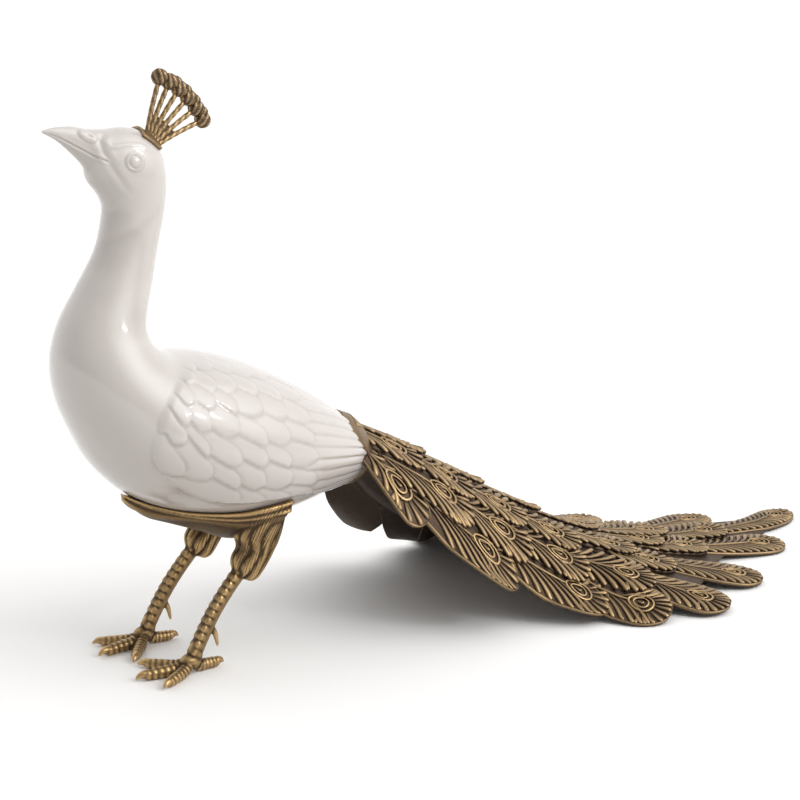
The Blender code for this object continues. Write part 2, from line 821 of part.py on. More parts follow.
def sheet():
    """The smooth sheet that all feathers stand on."""
    rows = [0.0, 0.06, 0.13, 0.21, 0.30, 0.38, 0.45, 0.54, 0.66, 0.78, 0.866]
    across = [-1.0, -0.66, -0.28, 0.0, 0.28, 0.66, 1.0]
    top = []
    low = []
    for share in rows:
        half = height_at(RIM, share, 1) * (0.50 + 0.36 * smooth_share(share, -0.02, 0.16))
        for part in across:
            top.append(train_spot(share, part * half, -FEATHER_THICKNESS * 0.15))
            low.append(train_spot(share, part * half, -FEATHER_THICKNESS * 1.35))
    width = len(across)
    count = len(top)
    faces = []
    for row in range(len(rows) - 1):
        for column in range(width - 1):
            a = row * width + column
            faces.append((a, a + 1, a + 1 + width, a + width))
            faces.append((count + a, count + a + width, count + a + 1 + width, count + a + 1))
    edge = list(range(width))
    edge += [row * width + width - 1 for row in range(1, len(rows))]
    edge += [count - 1 - step for step in range(1, width)]
    edge += [row * width for row in range(len(rows) - 2, 0, -1)]
    for a, b in zip(edge, edge[1:] + edge[:1]):
        faces.append((a, b, b + count, a + count))
    return solid_from("train", top + low, faces)


def feather(layer, width, root, tip, side):
    """One blade: a raised middle line, thin rounded edges and a blunt tip."""
    start = Vector((root[0] * TRAIN_LENGTH, side * root[1] * TRAIN_HALF_WIDTH))
    end = Vector((tip[0] * TRAIN_LENGTH, side * tip[1] * TRAIN_HALF_WIDTH))
    way = (end - start).normalized()
    out = Vector((-way.y, way.x))
    half = FEATHER_HALF_WIDTH * width
    heart = start.lerp(end, 0.7)
    up = train_normal(heart.x / TRAIN_LENGTH, heart.y / TRAIN_HALF_WIDTH)
    under = -FEATHER_THICKNESS * (0.75 if layer == 0 else 0.55)
    rings = []
    for share, thick in FEATHER_OUTLINE:
        middle = start.lerp(end, share)
        lift = layer * LAYER_STEP - (FEATHER_THICKNESS * 0.35 + layer * LAYER_STEP * 0.5) * (1 - share)
        ring = []
        for part in (-1.0, 0.0, 1.0):
            spot = middle + out * part * half * thick
            ring.append(train_spot(spot.x / TRAIN_LENGTH, spot.y / TRAIN_HALF_WIDTH, 0.0) + up * lift)
        ring[1].z = max(ring[1].z, (ring[0].z + ring[2].z) / 2)
        ring[1] += up * RACHIS_RISE
        ring.append(ring[2] + up * (under - lift))
        ring.append(ring[0] + up * (under - lift))
        rings.append(ring)
    return loft("feather", rings)


def feather_eye(layer, root, tip, side):
    """The raised drop near the end of a blade."""
    start = Vector((root[0] * TRAIN_LENGTH, side * root[1] * TRAIN_HALF_WIDTH))
    end = Vector((tip[0] * TRAIN_LENGTH, side * tip[1] * TRAIN_HALF_WIDTH))
    way = (end - start).normalized()
    out = Vector((-way.y, way.x))
    centre = end - way * FEATHER_EYE_LENGTH * 1.35
    lift = layer * LAYER_STEP
    rings = []
    for size, rise in ((1.0, -0.0018), (0.9, RACHIS_RISE * 1.7)):
        ring = []
        for corner in range(6):
            turn = 2 * math.pi * corner / 6
            spot = centre + way * math.cos(turn) * FEATHER_EYE_LENGTH / 2 * size
            spot += out * math.sin(turn) * FEATHER_EYE_LENGTH * 0.36 * size
            place = spot.x / TRAIN_LENGTH
            ring.append(train_spot(place, spot.y / TRAIN_HALF_WIDTH, lift + rise))
        rings.append(ring)
    return loft("feather_eye", rings)


def collar_cup():
    """A close cap over the rump, open at the front in a curved line."""
    rings = []
    for place in (21.2, 21.8, 22.4, 23.0, 23.5, 24.0):
        rings.append([raised_point(place, 30.0 * index, COLLAR_WALL) for index in range(12)])
    last = rings[-1]
    centre = sum(last, Vector()) / len(last)
    rings.append([point.lerp(centre, 0.5) + Vector((COLLAR_WALL, 0, 0)) for point in last])
    cup = loft("collar", rings)
    steps = 16
    cut = []
    for y in (-1.0, 1.0):
        ring = []
        for index in range(steps):
            turn = 2 * math.pi * index / steps
            x = 2.20 + 2.40 * math.cos(turn)
            z = 3.86 + (1.49 + COLLAR_WALL / UNIT) * math.sin(turn)
            ring.append(Vector((x, y * 2.2, z)) * UNIT)
        cut.append(ring)
    combine(cup, loft("collar_cut", cut), "DIFFERENCE")
    return cup


def build_train(body):
    parts = [sheet(), collar_cup()]
    for layer, width, root, tip in FEATHERS:
        sides = (1,) if tip[1] == 0 else (-1, 1)
        for side in sides:
            parts.append(feather(layer, width, root, tip, side))
    for layer, _, root, tip in FEATHERS[:8]:
        sides = (1,) if tip[1] == 0 else (-1, 1)
        for side in sides:
            parts.append(feather_eye(layer, root, tip, side))
    train = union_all(parts)
    fill_pockets(train)
    tidy(train, CAST_FLATNESS)
    combine(train, grown_copy(body, FIT_GAP), "DIFFERENCE")
    combine(train, floor_cut(), "DIFFERENCE")
    return train


# Finish

def paint(item, name, colour, metallic, roughness):
    material = bpy.data.materials.new(name)
    material.use_nodes = True
    shader = material.node_tree.nodes["Principled BSDF"]
    shader.inputs["Base Color"].default_value = (*colour, 1.0)
    shader.inputs["Metallic"].default_value = metallic
    shader.inputs["Roughness"].default_value = roughness
    item.data.materials.clear()
    item.data.materials.append(material)


def centre_figure(items):
    """Stand the figure on the floor with its box centred on the origin."""
    points = [vert.co for item in items for vert in item.data.vertices]
    low = [min(point[axis] for point in points) for axis in range(3)]
    high = [max(point[axis] for point in points) for axis in range(3)]
    move = Vector((-(low[0] + high[0]) / 2, -(low[1] + high[1]) / 2, -low[2]))
    for item in items:
        for vert in item.data.vertices:
            vert.co += move


def smooth(item):
    for face in item.data.polygons:
        face.use_smooth = True


def main():
    clear_file()
    body = build_body()
    crest = build_crest(body)
    leg_cradle = build_leg_cradle(body)
    train = build_train(body)
    items = [body, crest, leg_cradle, train]
    for item in items:
        tidy(item, FIT_FLATNESS)
    centre_figure(items)
    paint(body, "white_porcelain", (0.78, 0.76, 0.73), 0.0, 0.12)
    paint(crest, "crest_brass", (0.36, 0.24, 0.12), 0.9, 0.38)
    paint(leg_cradle, "leg_brass", (0.30, 0.19, 0.09), 0.9, 0.40)
    paint(train, "train_brass", (0.33, 0.22, 0.12), 0.9, 0.42)
    smooth(body)


main()
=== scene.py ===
# %% [markdown]
# # A porcelain and brass peacock
#
# The figure is four castings: a glazed white bird, a brass crest, a brass cradle with both legs, and a
# brass train. The packed solids give every place and size. This script makes the fine surface of each of
# them: the shingled wing, the club-shaped barbs of the feathers, the plates of the legs, and the two
# finishes.

# %% Load the frame
import json
import math

import bmesh
import bpy
import numpy as np
from mathutils import Matrix, Vector

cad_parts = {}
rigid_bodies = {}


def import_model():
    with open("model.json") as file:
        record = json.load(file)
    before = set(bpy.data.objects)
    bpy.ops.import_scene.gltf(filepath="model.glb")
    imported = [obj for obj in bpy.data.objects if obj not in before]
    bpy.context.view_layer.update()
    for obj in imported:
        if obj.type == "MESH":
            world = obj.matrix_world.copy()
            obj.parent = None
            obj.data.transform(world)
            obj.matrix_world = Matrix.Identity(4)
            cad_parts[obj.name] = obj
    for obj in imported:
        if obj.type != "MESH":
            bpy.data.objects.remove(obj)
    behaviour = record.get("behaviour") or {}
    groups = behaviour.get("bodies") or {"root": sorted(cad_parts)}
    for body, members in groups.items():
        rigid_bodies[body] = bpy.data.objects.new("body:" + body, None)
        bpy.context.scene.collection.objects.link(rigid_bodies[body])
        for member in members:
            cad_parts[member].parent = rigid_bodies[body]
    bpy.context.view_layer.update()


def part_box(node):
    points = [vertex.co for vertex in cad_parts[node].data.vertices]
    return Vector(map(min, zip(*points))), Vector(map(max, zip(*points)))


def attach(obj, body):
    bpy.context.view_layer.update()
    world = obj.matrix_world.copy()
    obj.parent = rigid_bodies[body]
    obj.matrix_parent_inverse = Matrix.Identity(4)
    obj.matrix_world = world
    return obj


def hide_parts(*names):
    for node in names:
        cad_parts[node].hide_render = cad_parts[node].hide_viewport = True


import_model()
body_low, body_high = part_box("porcelain_body")
MM = 0.001

# %% [markdown]
# ## One measure for the whole bird
#
# The sculptor's shapes are tables in shares of one unit, half the distance between the ankles. The
# porcelain body is 7.13 units long, so its box gives the unit, and the beak's tip and the middle plane give
# the place. A row at a fractional place in a table comes from a smooth curve through the rows, which is
# quicker to change than a mesh and never shows a corner.

# %% Unit and place of the tables
BEAK_TIP_X = -2.33
BODY_LENGTH = 7.13
UNIT = (body_high.x - body_low.x) / BODY_LENGTH
ORIGIN = Vector((body_low.x - BEAK_TIP_X * UNIT, (body_low.y + body_high.y) / 2, 0.0))


def smooth_step(value, low, high):
    """Zero below low, one above high, and a soft ramp between."""
    part = np.clip((value - low) / (high - low), 0.0, 1.0)
    return part * part * (3 - 2 * part)


def curve_rows(table, places):
    """Smooth rows of a table at fractional places."""
    rows = np.array(table, float)
    rows = np.vstack([2 * rows[0] - rows[1], rows, 2 * rows[-1] - rows[-2]])
    places = np.clip(np.asarray(places, float), 0.0, len(table) - 1.0)
    index = np.minimum(places.astype(int), len(table) - 2)
    share = (places - index)[..., None]
    before, low, high, after = (rows[index + step] for step in range(4))
    bend = (2 * before - 5 * low + 4 * high - after) * share ** 2
    twist = (3 * low - before - 3 * high + after) * share ** 3
    return 0.5 * (2 * low + (high - before) * share + bend + twist)


def read_off(table, value):
    """Straight-line reading of a table of (value, result) rows."""
    return np.interp(value, *zip(*table))


def hump(distance, middle, width):
    """A smooth bump, one high at its middle."""
    return np.exp(-((distance - middle) / width) ** 2)


def directions(ways):
    """The same ways, each of length one."""
    return ways / np.linalg.norm(ways, axis=-1, keepdims=True)


print("unit in mm:", round(UNIT / MM, 2), "origin:", [round(value, 4) for value in ORIGIN])

# %% [markdown]
# ## Reading and moving points in bulk
#
# A grid or a sphere from an operator gives the faces. Its points are then laid on the form with one array
# formula, because a bird's breast has no operator of its own and a loop over 80,000 points would be slow.

# %% Mesh helpers
def points_of(mesh):
    spots = np.empty(len(mesh.vertices) * 3)
    mesh.vertices.foreach_get("co", spots)
    return spots.reshape(-1, 3)


def place_points(mesh, spots):
    mesh.vertices.foreach_set("co", np.asarray(spots, float).ravel())
    mesh.update()


def mesh_from(bm, name):
    mesh = bpy.data.meshes.new(name)
    bm.to_mesh(mesh)
    bm.free()
    return mesh


def show(mesh, name):
    """Puts a finished mesh into the scene, smooth shaded."""
    piece = bpy.data.objects.new(name, mesh)
    bpy.context.scene.collection.objects.link(piece)
    mesh.shade_smooth()
    return piece


def grid_mesh(rows, columns, name):
    """A flat grid; x counts the rows and y the columns, both from 0 to 1."""
    bm = bmesh.new()
    bmesh.ops.create_grid(bm, x_segments=rows, y_segments=columns, size=0.5)
    bmesh.ops.translate(bm, verts=bm.verts, vec=(0.5, 0.5, 0.0))
    return mesh_from(bm, name)


def close_up(mesh, distance):
    """Joins a seam, caps open ends and points the faces outwards."""
    bm = bmesh.new()
    bm.from_mesh(mesh)
    bmesh.ops.remove_doubles(bm, verts=bm.verts, dist=distance)
    ends = [edge for edge in bm.edges if edge.is_boundary]
    if ends:
        bmesh.ops.holes_fill(bm, edges=ends, sides=0)
    bmesh.ops.recalc_face_normals(bm, faces=bm.faces)
    bm.to_mesh(mesh)
    bm.free()


def edges_of(mesh):
    pairs = np.empty(len(mesh.edges) * 2, np.int32)
    mesh.edges.foreach_get("vertices", pairs)
    return pairs.reshape(-1, 2)


def evened(spots, pairs, turns):
    """Moves points halfway to the middle of their neighbours, several times over."""
    first, second = pairs.T
    count = np.maximum(np.bincount(pairs.ravel(), minlength=len(spots)), 1)[:, None]
    for turn in range(turns):
        total = np.stack([
            np.bincount(first, spots[second, axis], len(spots))
            + np.bincount(second, spots[first, axis], len(spots)) for axis in range(3)], -1)
        spots = (spots + total / count) / 2
    return spots


def normals_of(mesh):
    values = np.empty(len(mesh.vertices) * 3, np.float32)
    mesh.vertices.foreach_get("normal", values)
    return values.reshape(-1, 3)


def standing_out(mesh, turns):
    """How far each point stands out of the evened skin around it."""
    spots = points_of(mesh)
    return ((spots - evened(spots, edges_of(mesh), turns)) * normals_of(mesh)).sum(1)


def triangles(piece):
    return sum(len(face.vertices) - 2 for face in piece.data.polygons)


def colour_by(mesh, name, values):
    layer = mesh.attributes.get(name) or mesh.attributes.new(name, "FLOAT", "POINT")
    layer.data.foreach_set("value", np.asarray(values, np.float32))


trial = grid_mesh(3, 2, "trial")
print("points in a grid of 3 by 2 faces:", len(points_of(trial)))
bpy.data.meshes.remove(trial)


# %% [markdown]
# ## The porcelain bird
#
# Beak, head, neck, body and rump are one moulding. Each station of the table gives the back point, the
# belly point and the half width; an angle runs from the back round the bird's left side.

# %% Stations of the body
BODY_STATIONS = [
    (-2.33, 10.80, -2.33, 10.76, 0.02),
    (-2.10, 10.85, -2.05, 10.60, 0.09),
    (-1.75, 10.86, -1.74, 10.33, 0.18),
    (-1.42, 10.80, -1.50, 10.06, 0.28),
    (-1.08, 10.79, -1.42, 9.80, 0.42),
    (-0.66, 10.81, -1.25, 9.58, 0.54),
    (-0.26, 10.70, -1.16, 9.42, 0.60),
    (0.05, 10.36, -1.12, 9.28, 0.62),
    (0.15, 9.82, -1.14, 9.05, 0.60),
    (0.10, 9.20, -1.22, 8.72, 0.58),
    (-0.05, 8.60, -1.40, 8.30, 0.61),
    (-0.22, 7.85, -1.74, 7.75, 0.72),
    (-0.40, 7.20, -2.10, 7.10, 0.90),
    (-0.42, 6.87, -2.25, 6.40, 1.14),
    (-0.28, 6.61, -2.16, 5.65, 1.38),
    (-0.02, 6.46, -1.86, 4.90, 1.60),
    (0.32, 6.40, -1.42, 4.15, 1.80),
    (0.80, 6.33, -0.70, 3.50, 1.90),
    (1.40, 6.16, 0.38, 3.00, 1.92),
    (2.05, 5.90, 1.45, 2.78, 1.84),
    (2.85, 5.49, 2.50, 2.82, 1.64),
    (3.60, 5.03, 3.40, 2.98, 1.30),
    (4.20, 4.58, 4.15, 3.15, 0.92),
    (4.60, 4.17, 4.60, 3.30, 0.58),
    (4.80, 3.90, 4.80, 3.50, 0.28),
]


def body_spots(places, angles):
    """Points of the plain body at fractional stations and angles in degrees."""
    rows = curve_rows(BODY_STATIONS, places)
    back_x, back_z, belly_x, belly_z, half = np.moveaxis(rows, -1, 0)
    turn = np.radians(angles)
    x = (back_x + belly_x) / 2 + (back_x - belly_x) / 2 * np.cos(turn)
    z = (back_z + belly_z) / 2 + (back_z - belly_z) / 2 * np.cos(turn)
    y = -half * np.sin(turn)
    return np.stack([x, y, z], -1) * UNIT + np.array(ORIGIN)


def body_normals(places, angles):
    along = body_spots(places + 0.03, angles) - body_spots(places - 0.03, angles)
    around = body_spots(places, angles + 1.5) - body_spots(places, angles - 1.5)
    return directions(np.cross(around, along))


print("stations of the body:", len(BODY_STATIONS))


# %% [markdown]
# ### Shingled wing
#
# The wing is rows of soft rounded scales, each lying over the one behind it, then long flight feathers that
# run under the collar. The scales are painted into a height map from the rump forwards, so that each one
# covers its neighbour behind, as shingles do.

# %% Height map of the wing
WING_RISE = 1.3 * MM
SCALE_RISE = 3.0 * MM
SCALE_LENGTH = 36 * MM
SCALE_HALF = 11.5 * MM
STATION_STEP = 25.5 * MM
DEGREE_STEP = 1.27 * MM
WING_FRONT = 15.2
WING_REAR = 19.75
WING_ROWS = 6
WING_QUILLS = 9
WING_ANGLES = (16, 133)
SCALE_PITCH = 16.5
QUILL_START = WING_REAR - 0.5
QUILL_END = 22.7
WING_EDGE = [(15.6, 118), (16.3, 131), (17.2, 135), (18.3, 130), (19.0, 125), (19.7, 123), (20.6, 131),
             (21.4, 138), (22.4, 144)]


def wing_front(down):
    """Where the wing starts: further back near the spine and low on the breast."""
    low = (np.clip(down, 72, 135) - 72) / 55
    high = (72 - np.clip(down, 17, 72)) / 55
    return WING_FRONT + low ** 2 * 0.95 + high ** 2 * 0.8


def scale_list():
    """Tip place, tip angle, lean in degrees and size of each scale, rump end first."""
    scales = []
    for row in reversed(range(WING_ROWS)):
        for column in range(-4, 8):
            shift = 0.5 if row % 2 else 0.0
            angle = 20 + SCALE_PITCH * (column + shift) + 6.2 * row + 2.2 * math.sin(5.1 * row + 2.3 * column)
            front = wing_front(angle)
            pitch = (WING_REAR - front) / WING_ROWS
            place = front + pitch * (row + 1.0) + 0.05 * math.sin(3.7 * row + 4.9 * column)
            place += 0.0045 * (angle - 70)
            lean = 27 - 2.0 * row + 4 * math.sin(2.9 * row + column)
            size = 0.78 + 0.035 * row + 0.0022 * angle + 0.05 * math.sin(6.1 * column + row)
            if WING_ANGLES[0] < angle < WING_ANGLES[1]:
                scales.append((place, angle, lean, size))
    return scales


def painted(height, share, level):
    return height * (1 - share) + level * share


def wing_height(places, down):
    """Height of the wing relief over the plain body in metres."""
    height = np.zeros_like(places)
    for index in reversed(range(WING_QUILLS)):
        share = index / (WING_QUILLS - 1)
        start_angle = 47 + 74 * share
        end_angle = 38 + 96 * share ** 1.05
        along = (places - QUILL_START) / (QUILL_END - QUILL_START)
        middle = start_angle + (end_angle - start_angle) * along
        across = (down - middle) / (5.6 + 1.0 * np.clip(along, 0, 1))
        inside = smooth_step(1 - np.abs(across), 0.0, 0.16) * smooth_step(along, 0.0, 0.05)
        crown = 0.55 + 0.35 * (across + 1) / 2 - 0.22 * across ** 2
        height = painted(height, inside, SCALE_RISE * crown)
    for place, angle, lean, size in scale_list():
        forward = (places - place) * STATION_STEP
        aside = (down - angle) * DEGREE_STEP
        turn = math.radians(lean)
        along = -(forward * math.cos(turn) + aside * math.sin(turn)) / size
        across = (aside * math.cos(turn) - forward * math.sin(turn)) / size
        nose = np.clip((SCALE_HALF - along) / SCALE_HALF, 0, 1)
        half = SCALE_HALF * np.sqrt(np.clip(1 - nose ** 2, 0, 1))
        edge = np.minimum(half - np.abs(across), SCALE_LENGTH - along)
        inside = smooth_step(edge, -0.5 * MM, 1.0 * MM) * (along > 0)
        dome = 0.42 + 0.58 * (1 - np.exp(-np.clip(edge, 0, 1) / (3.4 * MM)))
        slope = 1.0 - 0.80 * np.clip(along / SCALE_LENGTH, 0, 1)
        height = painted(height, inside, SCALE_RISE * size * dome * slope)
    return height


def wing_mask(places, down):
    soft = 0.20 + 0.75 * smooth_step(62 - down, 0, 34)
    front = smooth_step((places - wing_front(down)) / soft, -0.7, 1.1)
    low = smooth_step(read_off(WING_EDGE, places) - down, 0.0, 2.2)
    top = 0.22 + 0.78 * smooth_step(down, 12, 48)
    rear = 1 - smooth_step(places, 22.5, 23.2)
    return front * low * top * rear


print("scales on a wing:", len(scale_list()))

# %% [markdown]
# ### Face, nostrils and collar of the neck
#
# The face is a quiet relief under the glaze: a ring round a low eyeball, a soft lump over each nostril, a
# line where the beak closes, and a mask line from brow to throat. Each is a height by the distance from a
# spot or from a line, measured in real space, so a ring stays round wherever the skin curves.

# %% Height map of the head
EYE_PLACE = (5.70, 83.0)
EYE_RING = 7.2 * MM
EYE_BALL = 5.0 * MM
NOSTRIL_PLACE = (2.78, 52.0)
MOUTH_LINE = [(0.15, 112), (1.0, 114), (2.0, 113), (3.0, 106), (4.1, 98)]
MASK_LINE = [(4.0, 24), (3.5, 57), (3.75, 80), (4.35, 99), (5.2, 115), (6.5, 120), (7.5, 108)]
BROW_LINE = [(3.6, 52), (4.25, 68), (4.6, 64), (4.95, 60), (5.7, 54), (6.35, 54), (6.75, 57)]


def line_distance(spots, line):
    """Distance from each point to a line of (place, angle) rows on the left side, and the share along it."""
    corners = body_spots(*np.array(line, float).T)
    best = np.full(len(spots), 1.0)
    share_along = np.zeros(len(spots))
    for index, (start, end) in enumerate(zip(corners, corners[1:])):
        way = end - start
        share = np.clip((spots - start) @ way / (way @ way), 0, 1)
        gap = np.linalg.norm(spots - start - share[:, None] * way, axis=1)
        near = gap < best
        best = np.where(near, gap, best)
        share_along = np.where(near, (index + share) / (len(corners) - 1), share_along)
    return best, share_along


def head_height(spots, places, down):
    """Height of the face relief; the spots are already folded to the left side."""
    away = np.linalg.norm(spots - body_spots(*EYE_PLACE), axis=1)
    ball = np.sqrt(np.clip(1 - (away / EYE_BALL) ** 2, 0, 1))
    height = 0.9 * MM * hump(away, EYE_RING * 0.86, 1.15 * MM) + 1.5 * MM * ball
    height -= 0.5 * MM * hump(away, EYE_BALL * 1.04, 0.9 * MM)
    height -= 0.3 * MM * hump(away, EYE_RING * 1.16, 1.2 * MM)
    offset = spots - body_spots(*NOSTRIL_PLACE)
    along = offset @ directions(body_spots(3.3, 58.0) - body_spots(2.3, 47.0))
    aside = np.sqrt(np.clip((offset ** 2).sum(1) - along ** 2, 0, None))
    lump = np.clip(1 - (along / (8.4 * MM)) ** 2 - (aside / (4.9 * MM)) ** 2, 0, 1)
    slit = hump(along, 1.5 * MM, 3.2 * MM) * hump(aside, 0.0, 1.0 * MM)
    height += 1.8 * MM * lump ** 0.6 - 0.8 * MM * slit
    gap, share = line_distance(spots, MOUTH_LINE)
    height -= 0.75 * MM * hump(gap, 0.0, 0.75 * MM) * smooth_step(share, 0.0, 0.2)
    height += 0.35 * MM * hump(gap, 1.9 * MM, 1.3 * MM) * smooth_step(share, 0.1, 0.4)
    gap, share = line_distance(spots, MASK_LINE)
    fade = smooth_step(share, 0.0, 0.12) * (1 - smooth_step(share, 0.55, 1.0))
    height += MM * fade * (0.25 * hump(gap, 5.0 * MM, 2.6 * MM) - 0.80 * hump(gap, 0.0, 2.6 * MM))
    gap, share = line_distance(spots, BROW_LINE)
    fade = smooth_step(share, 0.0, 0.25) * (1 - smooth_step(share, 0.75, 1.0))
    height += 0.75 * MM * hump(gap, 0.0, 2.0 * MM) * fade
    collar = 8.5 - 0.35 * np.cos(np.radians(down))
    before = np.clip(collar - places, 0, 9) / 0.9
    behind = np.clip(places - collar, 0, 9) / 0.30
    return height + 0.45 * MM * np.exp(-before ** 2 - behind ** 2)


print("left eye at:", body_spots(*EYE_PLACE).round(3))


# %% [markdown]
# ### Lay the skin
#
# One fine grid is rolled round the body, with more columns on the flanks, where the scales are, than along
# the belly. The seam runs under the belly.

# %% Porcelain body
PLACE_STEPS = [(0.0, 0.0), (0.10, 1.2), (0.40, 8.6), (0.52, 14.6), (0.90, 20.6), (1.0, 24.0)]
SKIN_GRID = (330, 264)
HEAD_END = 9.5
WING_BEGIN = 14
ANGLE_STEPS = [(0.0, 0.0), (0.075, 20.0), (0.425, 140.0), (0.5, 180.0)]


def build_body():
    mesh = grid_mesh(*SKIN_GRID, "porcelain_bird")
    flat = points_of(mesh)
    places = read_off(PLACE_STEPS, flat[:, 0])
    down = read_off(ANGLE_STEPS, np.abs(flat[:, 1] - 0.5))
    angles = np.where(flat[:, 1] >= 0.5, down, 360 - down)
    face = head_height(body_spots(places, down), places, down) * (places < HEAD_END)
    wing = (WING_RISE * 0.3 + wing_height(places, down)) * wing_mask(places, down) * (places > WING_BEGIN)
    normals = body_normals(np.clip(places, 0.05, 23.95), angles)
    place_points(mesh, body_spots(places, angles) + normals * (face + wing)[:, None])
    close_up(mesh, 0.02 * MM)
    # Painted shade: the glaze colour is darkened in the grooves of the relief and, more, on the faces that
    # look down.
    groove = np.clip(-standing_out(mesh, 12) / (0.20 * MM), 0, 1)
    under = smooth_step(-normals_of(mesh)[:, 2], -0.35, 0.85)
    colour_by(mesh, "pool", groove * 0.24 + under * 0.55)
    return show(mesh, "porcelain_bird")


porcelain = build_body()
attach(porcelain, "root")
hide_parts("porcelain_body")
print("porcelain faces:", len(porcelain.data.polygons))

# %% [markdown]
# ## Copies in one casting
#
# A feather casting is hundreds of copies of a few shapes: barbs, blades, rods and rings. Each shape is made
# once by an operator. Its copies go into one mesh, and one array then says where their points lie and how
# far each is polished, because hands and cloths brighten the crowns of a brown casting and leave its
# valleys dark.

# %% Templates and castings
def bead(segments, rings):
    """A ball with its poles on the x axis, from -1 to 1; bent later into rods, barbs and plates."""
    bm = bmesh.new()
    bmesh.ops.create_uvsphere(bm, u_segments=segments, v_segments=rings, radius=1.0)
    bmesh.ops.rotate(bm, verts=bm.verts, matrix=Matrix.Rotation(math.pi / 2, 3, "Y"))
    return mesh_from(bm, "bead")


def ring_template(segments, steps):
    """A ring round the z axis with a unit radius and a thin wire."""
    bm = bmesh.new()
    bmesh.ops.create_circle(bm, segments=segments, radius=0.1)
    bmesh.ops.rotate(bm, verts=bm.verts, matrix=Matrix.Rotation(math.pi / 2, 3, "X"))
    bmesh.ops.translate(bm, verts=bm.verts, vec=(1.0, 0.0, 0.0))
    wire = bm.verts[:] + bm.edges[:]
    bmesh.ops.spin(bm, geom=wire, steps=steps, angle=2 * math.pi, axis=(0, 0, 1), use_merge=True)
    return mesh_from(bm, "ring")


def slab(rows, columns):
    """A closed sheet: x and y run from 0 to 1, and z is 0 on top and 1 below."""
    bm = bmesh.new()
    bmesh.ops.create_grid(bm, x_segments=rows, y_segments=columns, size=0.5)
    bmesh.ops.translate(bm, verts=bm.verts, vec=(0.5, 0.5, 0.0))
    bmesh.ops.solidify(bm, geom=bm.faces[:], thickness=1.0)
    mesh = mesh_from(bm, "slab")
    place_points(mesh, np.abs(points_of(mesh)))
    return mesh


class Casting:
    """Collects bent copies of templates in one mesh, each point with a polish from 0 to 1."""

    def __init__(self):
        self.bm = bmesh.new()
        self.spots = []
        self.polish = []

    def add(self, template, spots, polish=0.0):
        copies = spots.reshape(-1, len(template.vertices), 3)
        for turn in range(len(copies)):
            self.bm.from_mesh(template)
        self.spots.append(copies.reshape(-1, 3))
        self.polish.append(np.broadcast_to(polish, copies.shape[:2]).ravel())

    def finish(self, name):
        mesh = mesh_from(self.bm, name)
        place_points(mesh, np.concatenate(self.spots))
        colour_by(mesh, "polish", np.concatenate(self.polish))
        bm = bmesh.new()
        bm.from_mesh(mesh)
        bmesh.ops.recalc_face_normals(bm, faces=bm.faces)
        bm.to_mesh(mesh)
        bm.free()
        return show(mesh, name)


def unrolled(template):
    """For each point of a bead: its share of the length, and the sideways and upward parts of its round."""
    x, y, z = points_of(template).T
    ring = np.sqrt(np.clip(1 - x ** 2, 1e-9, 1))
    return (x + 1) / 2, y / ring, z / ring


def fullness(template, power):
    """How full a bead is along its length; a high power keeps it full almost to its ends."""
    return np.sqrt(np.clip(1 - np.abs(points_of(template)[:, 0]) ** power, 0, 1))


def between(places, steps, rows):
    """Points or ways read off between the steps that have them."""
    return np.stack([np.interp(places, steps, np.array(rows)[:, axis]) for axis in range(3)], -1)


chance = np.random.default_rng(7)
barb_template = bead(6, 7)
rod_template = bead(6, 12)
eye_template = ring_template(5, 18)
blade_template = slab(18, 10)
print("points of a barb, a quill, an eye ring and a blade:",
      [len(item.vertices) for item in (barb_template, rod_template, eye_template, blade_template)])

# %% [markdown]
# ## The train
#
# The train is one casting over a roof-shaped form: high and arched at the collar, and flat on the floor at
# the end. The form is a height by a share of the length and a share of the half width. Everything on the
# train is drawn in plan and then dropped on this form, as a modeller lays wax feathers on a core.

# %% Form of the train
TRAIN_START = 4.19 * UNIT
TRAIN_LENGTH = 14.17 * UNIT
TRAIN_HALF_WIDTH = 4.32 * UNIT
TRAIN_SWEEP = 0.381 * UNIT
FEATHER_THICKNESS = 3.4 * MM
LAYER_STEP = 2.6 * MM
RACHIS_RISE = 1.6 * MM
RIDGE = [(0, 4.60), (0.10, 3.86), (0.192, 3.11), (0.276, 2.42), (0.356, 1.79), (0.438, 1.22), (0.533, 0.82),
         (0.650, 0.52), (0.771, 0.30), (0.890, 0.16), (1, 0.08)]
RIM = [(-0.03, 0.42, 2.45), (0.061, 0.462, 2.18), (0.200, 0.575, 0.69), (0.340, 0.740, 0), (0.409, 0.958, 0),
       (0.517, 1.0, 0), (0.669, 0.720, 0), (0.845, 0.320, 0), (1.0, 0.03, 0)]


def table_value(table, share, column):
    """A straight-line reading of a table, softened over a short span."""
    rows = np.array(table, float)
    return sum(np.interp(share + step, rows[:, 0], rows[:, column]) for step in (-0.02, 0.0, 0.02)) / 3


def train_height(share, side):
    half = np.maximum(table_value(RIM, share, 1), 0.02)
    low = table_value(RIM, share, 2)
    rim = low * UNIT + FEATHER_THICKNESS
    stack = 3 * LAYER_STEP * smooth_step(1 - share, 0.05, 0.35)
    ridge = np.maximum(table_value(RIDGE, share, 1) * UNIT - stack, rim)
    part = np.abs(side) / (half * 1.12)
    arch = 1 - np.minimum(part, 1) ** 1.7 - 0.5 * np.maximum(np.minimum(part, 1.4) - 1, 0)
    flare = np.maximum(1 - np.minimum(part, 1) ** 1.8, 0) ** 1.5
    lying = 0.6 * (1 - smooth_step(low, 0.0, 1.2))
    return rim + (ridge - rim) * (arch * (1 - lying) + flare * lying)


def train_normal(share, side):
    reach = 0.02
    along = train_height(share + reach, side) - train_height(share - reach, side)
    aside = train_height(share, side + reach) - train_height(share, side - reach)
    along = along / (2 * reach * TRAIN_LENGTH)
    aside = aside / (2 * reach * TRAIN_HALF_WIDTH)
    return directions(np.stack([-along, -aside, np.ones_like(along)], -1))


